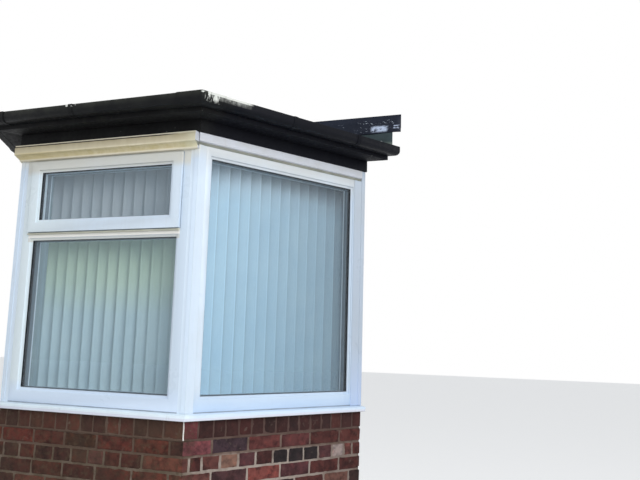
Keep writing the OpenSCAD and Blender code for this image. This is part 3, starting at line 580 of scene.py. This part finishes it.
def relief_box(bm, side, xs, zs, depth, back_y, back_x, tone=None, shift=None):
    """A closed block whose front is a grid of xs by zs at depth(x, z), with a flat back.

    It stays between the side's mitre and the back plane. shift(x, z) moves its outline a little.
    """
    matrix = SIDES[side][0]
    nx, nz = len(xs), len(zs)

    def spot(x, z):
        y = depth(x, z)
        low, high = ends(side, y)
        x, z = shift(x, z) if shift else (x, z)
        return matrix @ Vector((min(max(x, low), high), y, max(z, 0.0)))

    grid = [[bm.verts.new(spot(x, z)) for x in xs] for z in zs]
    rim = ([(i, 0) for i in range(nx)] + [(nx - 1, j) for j in range(1, nz)]
           + [(i, nz - 1) for i in range(nx - 2, -1, -1)] + [(0, j) for j in range(nz - 2, 0, -1)])
    x0, x1 = back_x
    pairs = []
    for i, j in rim:
        share = (xs[i] - xs[0]) / (xs[-1] - xs[0])
        behind = Vector((x0 + (x1 - x0) * share, back_y, zs[j]))
        pairs.append((grid[j][i], bm.verts.new(matrix @ behind)))
    faces = [bm.faces.new((grid[j][i], grid[j][i + 1], grid[j + 1][i + 1], grid[j + 1][i]))
             for j in range(nz - 1) for i in range(nx - 1)]
    for (a, behind_a), (b, behind_b) in zip(pairs, pairs[1:] + pairs[:1]):
        faces.append(bm.faces.new((a, behind_a, behind_b, b)))
    faces.append(bm.faces.new([behind for _, behind in reversed(pairs)]))
    if tone:
        layer = bm.loops.layers.float_color["tone"]
        for face in faces:
            for loop in face.loops:
                loop[layer] = tone


# Brickwork

# Tones of the flat courses and of the brick-on-edge course, and how often each comes
TONES = {
    (108, 62, 55): 8, (94, 56, 51): 7, (122, 70, 61): 5, (84, 56, 52): 5, (134, 84, 74): 3,
    (76, 54, 51): 4, (66, 53, 51): 1.5, (50, 42, 42): 0.7, (100, 70, 60): 2, (148, 104, 88): 0.8,
}
EDGE_TONES = {(106, 62, 56): 4, (92, 58, 53): 4, (116, 70, 62): 3, (82, 56, 52): 2, (98, 68, 60): 2}
BLACK_BRICK = (48, 40, 40)
# Bricks that stand out: their side and course from the top, then each one's place and tone
MARKED = {
    ("front", 0): {1: (124, 60, 54), 2: (98, 56, 50), 3: (84, 56, 44), 4: (112, 60, 55),
                   5: (108, 62, 54)},
    ("front", 1): {6: (124, 82, 78)},
    ("front", 2): {2: (94, 58, 50)},
    ("right", -1): {0: (128, 70, 70)},
    ("right", 0): {0: (140, 82, 82), 1: (74, 56, 60), 2: (116, 66, 60), 3: (104, 60, 56)},
    ("right", 1): {3: (150, 114, 94), 4: (88, 54, 54), 6: BLACK_BRICK, 7: BLACK_BRICK,
                   8: BLACK_BRICK, 9: (92, 58, 56), 10: (176, 158, 146)},
    ("right", 2): {1: (84, 56, 55), 2: (140, 78, 68), 3: (96, 58, 58)},
}
MARKED_SHADE = 0.72
# Painted shade of each side, by how the light falls on it: its flat courses and its brick-on-edge
# course
SIDE_SHADE = {"front": (0.62, 0.72), "right": (0.50, 0.44), "left": (0.62, 0.6)}
# Where the upright joints lie along a side, in metres, read from the top courses
STRETCHERS = {
    "front": [0.033, 0.238, 0.433, 0.632, 0.845, 1.049],
    "right": [0.162, 0.374, 0.582, 0.780, 0.992],
}
SHIFTED = {
    "front": [0.137, 0.335, 0.532, 0.738, 0.947],
    "right": [0.058, 0.268, 0.478, 0.681, 0.886, 1.071],
}
HEADERS = {
    "front": [0.050, 0.153, 0.252, 0.370, 0.481, 0.581, 0.680, 0.777, 0.899],
    "right": [0.038, 0.108, 0.212, 0.319, 0.424, 0.533, 0.633, 0.737, 0.840, 0.938, 1.029, 1.092],
}
ON_EDGE = {
    "front": [0.051, 0.130, 0.208, 0.290, 0.370, 0.443, 0.525, 0.602, 0.683, 0.762, 0.843, 0.923,
              1.009],
    "right": [0.081, 0.167, 0.236, 0.315, 0.393, 0.469, 0.547, 0.627, 0.700, 0.780, 0.857, 0.928,
              1.004, 1.088],
}
# The flat courses from the top, and the joints of each kind
BOND, KINDS = "SHSTSHSTSHSTS", {"S": STRETCHERS, "T": SHIFTED, "H": HEADERS}
# Depths from the brick face: the bricks' backs, and the mortar in the two kinds of courses
BRICK_BACK, END_BRICK_BACK, MORTAR_IN, EDGE_MORTAR_IN = 0.03, 0.105, 0.0042, 0.0034
# Gaps under the lowest bricks and from the mortar to the back plane
GROUND_GAP, BACK_GAP = 0.0005, 0.003
GRID_EDGE = (0.0, 0.0015, 0.0045, 0.009)


def graded(low, high, step):
    """Grid positions across a brick, closer together at both ends."""
    length = high - low
    inner = length - 2 * GRID_EDGE[-1]
    count = max(1, round(inner / step))
    middle = [GRID_EDGE[-1] + inner * i / count for i in range(1, count)]
    return [low + g for g in [*GRID_EDGE, *middle, *(length - e for e in reversed(GRID_EDGE))]]


def random_tone(tones):
    return rng.choices(list(tones), tones.values())[0]


def tone_of(side, course, index):
    """A brick's tone, and whether it is a marked one. Course -1 is the brick-on-edge."""
    marked = MARKED.get((side, course), {}).get(index)
    return marked or random_tone(TONES if course >= 0 else EDGE_TONES), bool(marked)


def places_along(table, side, loose=0.0):
    """Both ends of a side and the joints between, moved at random by up to a loose distance."""
    length = SIDES[side][1]
    joints = table[side] if side in table else sorted(length - s for s in table["right"])
    return [0.0] + [j + (rng.uniform(-loose, loose) if loose else 0) for j in joints] + [length]


def brick_block(bm, side, x0, x1, z0, z1, tone, marked, back=BRICK_BACK):
    """One worn brick. Its ends follow the mitre or the back plane where they reach one."""
    low, high = ends(side, 0)
    back_low, back_high = ends(side, back)
    at_low, at_high = x0 <= low + 1e-4, x1 >= high - 1e-4
    seed = rng.uniform(0, 500)
    sink = rng.uniform(0.0004, 0.0022)
    tilt = rng.uniform(-0.008, 0.008)
    wear = rng.uniform(0.004, 0.0075)
    chips = [(rng.choice((x0, x1)), rng.choice((z0, z1)), rng.uniform(0.004, 0.012))
             for _ in range(rng.choice((0, 0, 1, 1, 2)))]

    def depth(x, z):
        width = x1 - x0
        edge = min(z - z0, z1 - z, width if at_low else x - x0, width if at_high else x1 - x)
        spot = Vector((x * 60, seed, z * 60))
        r = wear * (1 + 0.5 * wobble(spot))
        y = sink + tilt * (z - (z0 + z1) / 2) + 0.0011 * wobble(spot, 0.5) + 0.0005 * wobble(spot, 3)
        if edge < r:
            y += r * (1 - math.sqrt(max(0.0, 1 - (1 - edge / r) ** 2)))
        for chip_x, chip_z, size in chips:
            away = math.hypot(x - chip_x, z - chip_z) + 0.004 * wobble(spot, 4)
            y += max(0.0, size - away) * 0.5
        return min(max(y, 0.0002), back - 0.004)

    def shift(x, z):
        spot = Vector((x * 34, seed + 40, z * 34))
        return x + 0.0022 * wobble(spot), z + 0.0020 * wobble(spot + Vector((9, 4, 2)))

    columns, rows = graded(x0, x1, 0.016), graded(z0, z1, 0.015)
    if not at_low:
        columns[0] += rng.uniform(-0.001, 0.001)
    back_x = (back_low if at_low else min(x0, back_high - 0.012),
              back_high if at_high else max(x1, back_low + 0.012))
    # Painted shade and light: the random tone is scaled by its side's painted shade, and painted light
    # tints the right bluer and the other sides warmer
    shade = rng.uniform(0.88, 1.10) * (MARKED_SHADE if marked else SIDE_SHADE[side][z0 > WALL_TOP])
    tint = (1.0, 1.0, 1.10) if side == "right" else (1.0, 0.98, 0.86)
    colour = tuple(c * shade * k for c, k in zip(rgb(*tone), tint)) + (1.0,)
    relief_box(bm, side, columns, rows, depth, back, back_x, colour, shift)


def mortar_block(bm, side, z0, z1, recess):
    """The wall behind the bricks: rough mortar in front, flat at the back and ends."""
    low, high = ends(side, recess, BACK_GAP)
    xs = steps(low, high, round((high - low) / 0.011))
    zs = steps(z0, z1, max(4, round((z1 - z0) / 0.009)))
    seed = rng.uniform(0, 500)

    def depth(x, z):
        spot = Vector((x * 45, seed, z * 45))
        return max(recess + 0.0022 * wobble(spot, 0.6) + 0.001 * wobble(spot, 3.1), 0.0008)

    relief_box(bm, side, xs, zs, depth, WALL_T, ends(side, WALL_T, BACK_GAP))


def flat_courses(bm, side, corner_tones):
    """A side's facing bricks. One that goes round a corner has one tone on both sides."""
    for course, kind in enumerate(BOND):
        lowest = course == len(BOND) - 1
        z1 = WALL_TOP - course * COURSE_H
        z0 = GROUND_GAP if lowest else z1 - COURSE_H + JOINT
        places = places_along(KINDS[kind], side, 0.004 if course > 2 else 0)
        last = len(places) - 2
        for i in range(last + 1):
            x0 = places[i] + (JOINT / 2 if i else 0)
            x1 = places[i + 1] - (JOINT / 2 if i < last else 0)
            tone, marked = tone_of(side, course, i)
            corner = {("front", 0): "left", ("front", last): "right", ("right", 0): "right",
                      ("left", last): "left"}.get((side, i))
            if corner:
                shared = corner_tones.setdefault((course, corner), tone)
                tone = tone if marked else shared
            lift = rng.uniform(-0.0015, 0.0015)
            at_back = (side, i) in (("right", last), ("left", 0))
            brick_block(bm, side, x0, x1, z0 if lowest else z0 + lift, z1 + lift, tone, marked,
                        END_BRICK_BACK if at_back else BRICK_BACK)


def end_bricks(bm, side):
    """Bricks that show in the wall's cut end, behind the facing bricks."""
    y0, y1, reach = END_BRICK_BACK + 0.01, WALL_T - 0.0005, 0.10

    def across(y):
        low, high = ends(side, y)
        return (high - reach, high) if side == "right" else (low, low + reach)

    for course in range(len(BOND)):
        z1 = WALL_TOP - course * COURSE_H
        relief_box(bm, side, steps(*across(y0), 4), steps(z1 - COURSE_H + JOINT, z1, 3),
                   lambda x, z: y0, y1, across(y1), rgb(*random_tone(TONES)))


def edge_course(bm, side):
    """A side's brick-on-edge course. The front's last brick leaves room for the corner joint."""
    places = places_along(ON_EDGE, side)
    last = len(places) - 2
    for i in range(last + 1):
        x0, x1 = places[i] + 0.0032, places[i + 1] - 0.0032
        if i == 0 and side == "left":
            x0 = 0.0
        if i == last and side != "left":
            x1 = places[-1] - (0.006 if side == "front" else 0)
        brick_block(bm, side, x0, x1, WALL_TOP + JOINT, SILL_Z - 0.0005, *tone_of(side, -1, i))


def corner_joint():
    """The pale joint at the right corner of the brick-on-edge course."""
    bm = bmesh.new()
    xs = steps(FRONT_LEN - 0.0056, FRONT_LEN - 0.0011, 5)
    zs = steps(WALL_TOP + 0.006, SILL_Z - 0.001, 14)
    relief_box(bm, "front", xs, zs, lambda x, z: 0.0008 + 0.0012 * wobble((x * 300, 3, z * 60)) ** 2,
               0.02, (xs[0], xs[-1]))
    return bm


def build_brickwork():
    """Facing bricks and mortar of each side, and the brick-on-edge course over them."""
    corner_tones = {}
    edge_bricks, edge_mortar = toned_mesh(), bmesh.new()
    for side in SIDES:
        wall = [f"{side}_wall"]
        bm = toned_mesh()
        flat_courses(bm, side, corner_tones)
        if side != "front":
            end_bricks(bm, side)
        add_piece(f"{side}_wall_bricks", bm, "brick", wall, smooth=True)
        bm = bmesh.new()
        mortar_block(bm, side, 0, WALL_TOP, MORTAR_IN)
        add_piece(f"{side}_wall_mortar", bm, "mortar", wall, smooth=True)
        edge_course(edge_bricks, side)
        mortar_block(edge_mortar, side, WALL_TOP, SILL_Z - 0.0002, EDGE_MORTAR_IN)
    for name, bm, look in (("corner_joint", corner_joint(), "white_mortar"),
                           ("edge_course_bricks", edge_bricks, "brick"),
                           ("edge_course_mortar", edge_mortar, "mortar")):
        add_piece(name, bm, look, ["edge_course"], smooth=True)


build_brickwork()


# Blinds

VANE_W, VANE_PITCH, VANE_TURN = 0.089, 0.068, math.radians(33)
VANE_Z0, VANE_Z1, RAIL_Z = FRAME_Z + 0.035, 2.4215, FRAME_TOP - 0.034
VANE_LEN, VANE_THICK, VANE_COLUMNS = VANE_Z1 - VANE_Z0, 0.001, 12
POCKET_TOP, POCKET_THICK = 0.045, 0.0012
VANE_BACK = rgb(190, 206, 210)
# Heights of the grid's rows above a vane's foot: the pocket, the long middle and the gathered head
VANE_ROWS = [0, 0.018, 0.044, 0.0455] + steps(0.10, 1.12, 12) + steps(VANE_LEN - 0.1125, VANE_LEN, 9)
# Depth of the vanes' line, their number, and how far their row is drawn to the back plane
ROWS = {"front": (0.157, 13, 0.0), "right": (0.125, 14, 0.015), "left": (0.125, 14, 0.015)}


def vane_tint(side, u, drop, strength, nearness):
    """Colour of the cloth at u across the vane and drop below its head, with light and shade painted
    in.

    The overlap under the next vane has painted shade, and so have the gathered heads. On the returns
    painted shade dims the cloth the nearer it hangs to the back plane, where nearness is 1. The base
    colours hold painted reflection and shade: greyer on the front above the transom, greener higher
    up below it, and greyer near the head on the returns.
    """
    z = VANE_Z1 - drop
    if side == "front":
        head_depth, head_lit = 0.05, 0.66
        lit = 1.02 - 0.30 * strength * max(0.0, 1 - abs(u - 0.16) / 0.10)
        base = (172, 176, 182)
        if z < TRANSOM_Z:
            base = between((180, 199, 206), (182, 199, 178), ramp(z, 1.58, 0.22))
    else:
        head_depth, head_lit = 0.035 + 0.145 * nearness, 0.90 - 0.62 * nearness
        lit = 1.15 - 0.62 * nearness - 1.5 * max(0.0, nearness - 0.9)
        lit *= 1 - 0.30 * ((1 - u) / 2) ** 1.5
        lit *= 1 - 0.45 * strength * max(0.0, 1 - abs(u + 0.30) / 0.16)
        low, high = {"right": ((180, 212, 233), (198, 223, 241)),
                     "left": ((186, 208, 214), (184, 202, 208))}[side]
        base = between(low, high, ramp(z, FRAME_Z, 1.2))
        base = between(base, (182, 194, 206), ramp(z, 2.24, 0.12))
    lit *= head_lit + (1 - head_lit) * min(1.0, drop / head_depth) ** 1.2
    return tuple(c * lit for c in rgb(*base)[:3]) + (1.0,)


def vane_mesh(side, matrix, nearness):
    """One hanging vane: a curved strip with a doubled pocket at its foot."""
    seed = rng.uniform(0, 500)
    bow = rng.uniform(0.0035, 0.0055)
    twist = math.radians(rng.uniform(-2.5, 2.5))
    strength = rng.choice((0.25, 0.4, 0.55, 0.75))
    bm = toned_mesh()
    tints, rows = {}, []
    for height in VANE_ROWS:
        z = VANE_Z0 + height
        share = height / VANE_LEN
        flat = min(1.0, (1 - share) * 14)
        turned = matrix @ Matrix.Rotation(twist * (1 - share), 4, "Z")
        front_y = -VANE_THICK / 2 - (POCKET_THICK if height < POCKET_TOP else 0.0)
        row = []
        for u in steps(-1, 1, VANE_COLUMNS):
            y = bow * ((1 - u * u) * flat - 0.5) + 0.0012 * wobble((u * 1.5, seed, z * 5))
            x = u * VANE_W / 2 * 0.998
            front = bm.verts.new(turned @ Vector((x, y + front_y, z)))
            back = bm.verts.new(turned @ Vector((x, y + VANE_THICK / 2, z)))
            tints[front] = vane_tint(side, u, VANE_Z1 - z, strength, nearness)
            tints[back] = VANE_BACK
            row.append((front, back))
        rows.append(row)
    for low, high in zip(rows, rows[1:]):
        for (f1, b1), (f2, b2), (f3, b3), (f4, b4) in zip(low, low[1:], high[1:], high):
            bm.faces.new((f1, f2, f3, f4))
            bm.faces.new((b1, b4, b3, b2))
        bm.faces.new((low[0][0], high[0][0], high[0][1], low[0][1]))
        bm.faces.new((low[-1][0], low[-1][1], high[-1][1], high[-1][0]))
    foot, head = rows[0], rows[-1]
    for (f1, b1), (f2, b2), (f3, b3), (f4, b4) in zip(foot, foot[1:], head[1:], head):
        bm.faces.new((f1, b1, b2, f2))
        bm.faces.new((f4, f3, b3, b4))
    layer = bm.loops.layers.float_color["tone"]
    for face in bm.faces:
        for loop in face.loops:
            loop[layer] = tints[loop.vert]
    return bm


def box(bm, matrix, lo, hi):
    middle = [(a + b) / 2 for a, b in zip(lo, hi)]
    size = [b - a for a, b in zip(lo, hi)]
    place = matrix @ Matrix.Translation(middle) @ Matrix.Diagonal((*size, 1))
    bmesh.ops.create_cube(bm, size=1.0, matrix=place)


def build_blinds():
    """The vanes of each side and their hangers."""
    hangers = bmesh.new()
    for side, (depth, count, drawn) in ROWS.items():
        middle = sum(ends(side, depth)) / 2 + (drawn if side == "right" else -drawn)
        turn = -VANE_TURN if side == "right" else VANE_TURN
        for i in range(count):
            x = middle + (i - (count - 1) / 2) * VANE_PITCH
            angle = turn + math.radians(rng.uniform(-2.5, 2.5))
            matrix = SIDES[side][0] @ Matrix.Translation((x, depth, 0)) @ Matrix.Rotation(angle, 4, "Z")
            nearness = {"front": 0.0, "right": i / (count - 1), "left": 1 - i / (count - 1)}[side]
            vane = add_piece(f"{side}_vane_{i + 1:02d}", vane_mesh(side, matrix, nearness),
                             "blind_fabric", [f"{side}_blind"], smooth=True)
            box(hangers, matrix, (-0.011, -0.0012, VANE_Z1 - 0.018), (0.011, 0.0012, VANE_Z1))
            box(hangers, matrix, (-0.003, -0.0025, VANE_Z1), (0.003, 0.0025, RAIL_Z + 0.001))
    soften(add_piece("vane_hangers", hangers, "blind_rail",
                     [f"{side}_blind" for side in SIDES]), 0.0005)


build_blinds()


# Small parts of the frames

def ring(side, outline, x=None):
    """World points of an outline of (out, z) across a side, at x or in the mitre at its right end."""
    return [SIDES[side][0] @ Vector((ends(side, -out)[1] if x is None else x, -out, z))
            for out, z in outline]


def bar(bm, rings):
    """A closed solid through rings of points, capped at both ends."""
    rows = [[bm.verts.new(point) for point in points] for points in rings]
    for a, b in zip(rows, rows[1:]):
        for i in range(len(a)):
            j = (i + 1) % len(a)
            bm.faces.new((a[i], a[j], b[j], b[i]))
    bm.faces.new(rows[0])
    bm.faces.new(list(reversed(rows[-1])))
    bmesh.ops.recalc_face_normals(bm, faces=bm.faces)


def build_sill_seals():
    """A grey seal under each frame, from the corner posts to the cover strips, which also stands in for
    the shadow line under the frame (painted shade).
    """
    bm = bmesh.new()
    z0, z1 = FRAME_Z + 0.0004, FRAME_Z + 0.0036
    outline = [(-0.0045, z0), (-0.0034, z0), (-0.0034, z1), (-0.0045, z1)]
    post, strip = 0.048, 0.081
    for side, (_, length) in SIDES.items():
        x0 = strip if side == "left" else post
        x1 = length - (strip if side == "right" else post)
        bar(bm, [ring(side, outline, x) for x in (x0, x1)])
    add_piece("sill_seals_and_shadow_line", bm, "seal")


def build_sash_details():
    """The sash's gasket all round, which also stands in for the shadow gap round the sash (painted
    shade), and its drip bar.
    """
    x0, x1, z0, z1 = HALF_FRONT - SASH_X, HALF_FRONT + SASH_X, SASH_Z0, SASH_Z1
    gap, y0, y1 = 0.0032, 0.0036, 0.0049
    bm = bmesh.new()
    for lo, hi in (((x0 - gap, z0 - gap), (x1 + gap, z0)), ((x0 - gap, z1), (x1 + gap, z1 + gap)),
                   ((x0 - gap, z0), (x0, z1)), ((x1, z0), (x1 + gap, z1))):
        box(bm, SIDES["front"][0], (lo[0], y0, lo[1]), (hi[0], y1, hi[1]))
    add_piece("sash_gasket_and_shadow_gap", bm, "seal")

    bm = bmesh.new()
    profile = [(-0.0048, z0 - 0.013), (0.0045, z0 - 0.014), (0.0085, z0 - 0.0115),
               (0.0085, z0 - 0.009), (0.002, z0 - 0.0035), (-0.0048, z0 - 0.0035)]
    bar(bm, [ring("front", profile, x) for x in (x0 + 0.001, x1 - 0.001)])
    soften(add_piece("sash_drip_bar", bm, "drip_bar"), 0.0006)


build_sill_seals()
build_sash_details()


# Gutter corners and unions, with the thicknesses of their beads, grooves and ribs

BEAD, GROOVE, BODY = 0.0029, 0.0012, 0.0020
UNION_RIB, UNION_BODY = 0.0027, 0.0015
HOOK = 0.0016  # how far the hook over the rim stands up
CORNER_REACH = 0.0284  # how far a corner piece runs past the brickwork's corner on each side


def sleeve(thick):
    """Outline of a sleeve under the gutter, with a hook over the rim."""
    cx, cz = GUTTER_OUT - GUTTER_R, GUTTER_Z0 + GUTTER_R
    angles = [math.radians(-90 + 15 * i) for i in range(7)]

    def arc(r):
        return [(cx + r * math.cos(a), cz + r * math.sin(a)) for a in angles]

    top, lap, inner = GUTTER_TOP + HOOK, GUTTER_TOP - 0.0001, GUTTER_OUT - 0.007
    return ([(EAVES_OUT, GUTTER_Z0), (EAVES_OUT, GUTTER_Z0 - thick)] + arc(GUTTER_R + thick)
            + [(GUTTER_OUT + thick, top - 0.001), (GUTTER_OUT + thick - 0.001, top), (inner, top),
               (inner, lap), (GUTTER_OUT, lap)] + list(reversed(arc(GUTTER_R))))


def build_gutter_parts():
    """The gutter's two corner pieces, and the ribbed unions between its lengths."""
    bm = bmesh.new()
    sections = ((0, BEAD), (0.020, BEAD), (0.0205, GROOVE), (0.0235, GROOVE), (0.024, BODY))
    for a, b in (("front", "right"), ("left", "front")):
        start = SIDES[a][1] - CORNER_REACH
        rings = [ring(a, sleeve(thick), start + d) for d, thick in sections]
        rings += [ring(a, sleeve(BODY))]
        rings += [ring(b, sleeve(thick), CORNER_REACH - d) for d, thick in reversed(sections)]
        bar(bm, rings)
    soften(add_piece("gutter_corner_pieces", bm, "gutter_black",
                     ["gutter_corners"]), 0.0005)

    bm = bmesh.new()
    half = [(0.0016, UNION_RIB), (0.002, UNION_BODY), (0.008, UNION_BODY), (0.0084, UNION_RIB),
            (0.012, UNION_RIB)]
    sections = [(-d, thick) for d, thick in reversed(half)] + half
    places = [("front", 0.416 * FRONT_LEN)]
    for share in (0.4, 0.8):
        places += [("right", share * RETURN_LEN), ("left", (1 - share) * RETURN_LEN)]
    for side, middle in places:
        bar(bm, [ring(side, sleeve(thick), middle + d) for d, thick in sections])
    soften(add_piece("gutter_unions", bm, "gutter_black", ["gutter_clips"]), 0.0004)


build_gutter_parts()


# Roof

def build_flashing():
    """A hand-dressed flashing over the felt's upstand."""

    def dent(x, z, size=0.0022):
        return size * max(0.0, wobble((x * 9, 5, z * 14)) + 0.15)

    back, inner, outer, upper = -0.0003, -0.0052, -0.0088, -0.0040
    knee, step = UPSTAND_TOP + 0.004, UPSTAND_TOP + 0.0005
    rings = []
    for x in steps(-FLASHING_X, FLASHING_X, 96):
        low = FLASHING_Z0 + 0.006 * max(0.0, wobble((x * 5, 1, 2)))
        line = [(inner, low)] + [(outer + dent(x, z), z) for z in (low, 2.752, 2.763, knee)]
        line += [(upper - 0.0002 + dent(x, 2.79, 0.001), UPSTAND_TOP + 0.012),
                 (upper + dent(x, 2.82, 0.001), 2.82), (upper, FLASHING_Z1), (back, FLASHING_Z1),
                 (back, step), (inner, step)]
        rings.append([Vector((x, y, z)) for y, z in line])
    bm = bmesh.new()
    bar(bm, rings)
    add_piece("dressed_flashing", bm, "flashing", ["cover_flashing"], smooth=True)


def build_felt_laps():
    """Two laps that run down the felt."""
    bm = bmesh.new()
    for x0 in (-0.46, 0.30):
        rings = []
        for y in steps(-0.010, -1.12, 24):
            start = x0 + 0.004 * wobble((x0, y * 6, 3))
            z = ROOF_Z + ROOF_RISE * (1 + y / ROOF_DEPTH)
            rings.append([Vector((x, y, z + rise)) for x, rise in (
                (start, -0.0005), (start, 0.0022), (x0 + 0.09, 0.0026), (x0 + 0.094, 0.0004),
                (x0 + 0.094, -0.0005))])
        bar(bm, rings)
    add_piece("felt_laps", bm, "felt")


def build_nails():
    """A row of nails through the upstand, and a bigger one at its right end."""
    bm = bmesh.new()
    for x, z, big in [(i * 0.2 - 1.2, 2.712, 1.0) for i in range(12)] + [(1.237, 2.692, 1.4)]:
        place = Matrix.Translation((x, -0.0057, z)) @ Matrix.Rotation(math.radians(90), 4, "X")
        bmesh.ops.create_cone(bm, cap_ends=True, segments=16, radius1=0.0045 * big,
                              radius2=0.0034 * big, depth=0.0016, matrix=place)
    add_piece("upstand_nails", bm, "zinc")


build_flashing()
build_felt_laps()
build_nails()


# CAD nodes that stay: their looks, and edges rounded by modifiers

ROUNDED = {
    0.0005: "blind_brackets",
    0.0009: "front_gutter left_gutter right_gutter",
    0.001: "glazing_beads frieze_boards soffit_boards ceiling_board roof_deck",
    0.0012: "cover_strips head_trims",
    0.0015: "fascia_boards blind_rails roof_felt",
    0.0016: "front_frame left_frame right_frame",
    0.0018: "front_sill left_sill right_sill",
    0.002: "opener_handle skirting_boards plaster_lining wall_plate head_beams",
    0.0022: "opener_sash",
    0.003: "window_boards floor_slab",
}
RADIUS = {name: radius for radius, names in ROUNDED.items() for name in names.split()}
for row in frame["record"]["subparts"]:
    name = row["node"]
    node = frame["nodes"][name]
    if node.hide_render:
        continue
    node.data.materials.clear()
    node.data.materials.append(LOOKS.get(name) or LOOKS[row["material_slot"]])
    if row["material_slot"] == "glass":
        node.visible_shadow = False
    if name in RADIUS:
        soften(node, RADIUS[name], merge="frame" not in name)

# Floor, light and camera

bpy.ops.mesh.primitive_plane_add(size=60)
floor = bpy.context.object
floor.name = "floor"
paper = Look("floor_paper", rgb(232, 232, 232))
paper.finish(0.9)
rays = paper.new("LightPath").outputs
glow = paper.new("Emission", {"Strength": paper.calc(
    "ADD", paper.both(rays["Is Camera Ray"], 0.4), paper.both(rays["Is Glossy Ray"], 0.62))})
total = paper.new("AddShader", {0: paper.shader.outputs[0], 1: glow.outputs[0]})
paper.put(paper.output.inputs["Surface"], total.outputs[0])
floor.data.materials.append(paper.material)

# The world is white to the camera and in reflections, and a dim sky as a light
scene = bpy.context.scene
scene.view_settings.view_transform = "Standard"
world = bpy.data.worlds.new("studio")
scene.world = world
world.use_nodes = True
world.node_tree.nodes.clear()
studio = Nodes(world.node_tree)
rays = studio.new("LightPath").outputs
seen = studio.calc("MAXIMUM", rays["Is Camera Ray"], rays["Is Glossy Ray"])
seen = studio.calc("MAXIMUM", seen, rays["Is Transmission Ray"])
sky = studio.new("Background", {"Color": (0.90, 0.95, 1.0), "Strength": 0.40})
white = studio.new("Background", {"Color": (1, 1, 1), "Strength": 1.0})
shown = studio.new("MixShader", {0: seen, 1: sky.outputs[0], 2: white.outputs[0]})
studio.new("OutputWorld", {"Surface": shown.outputs[0]})


def area_light(name, place, target, size, watts):
    light = bpy.data.lights.new(name, "AREA")
    light.size = size
    light.energy = watts
    lamp = bpy.data.objects.new(name, light)
    scene.collection.objects.link(lamp)
    lamp.location = place
    lamp.rotation_euler = (Vector(target) - Vector(place)).to_track_quat("-Z", "Y").to_euler()
    return lamp


area_light("sky_panel", (5.2, -4.6, 4.7), (0.2, -0.5, 1.5), 5, 350)
area_light("fill_panel", (-4.5, -6.0, 3.2), (0, -0.6, 1.5), 4, 60).visible_glossy = False

camera = bpy.data.cameras.new("camera")
camera.lens = 38.907
camera.sensor_width = 36
camera_object = bpy.data.objects.new("camera", camera)
scene.collection.objects.link(camera_object)
camera_object.matrix_world = (
    Matrix.Translation((2.3095, -3.9554, 1.484)) @ Matrix.Rotation(math.radians(20.1554), 4, "Z")
    @ Matrix.Rotation(math.radians(98.2997), 4, "X") @ Matrix.Rotation(math.radians(1.6142), 4, "Z")
)
scene.camera = camera_object
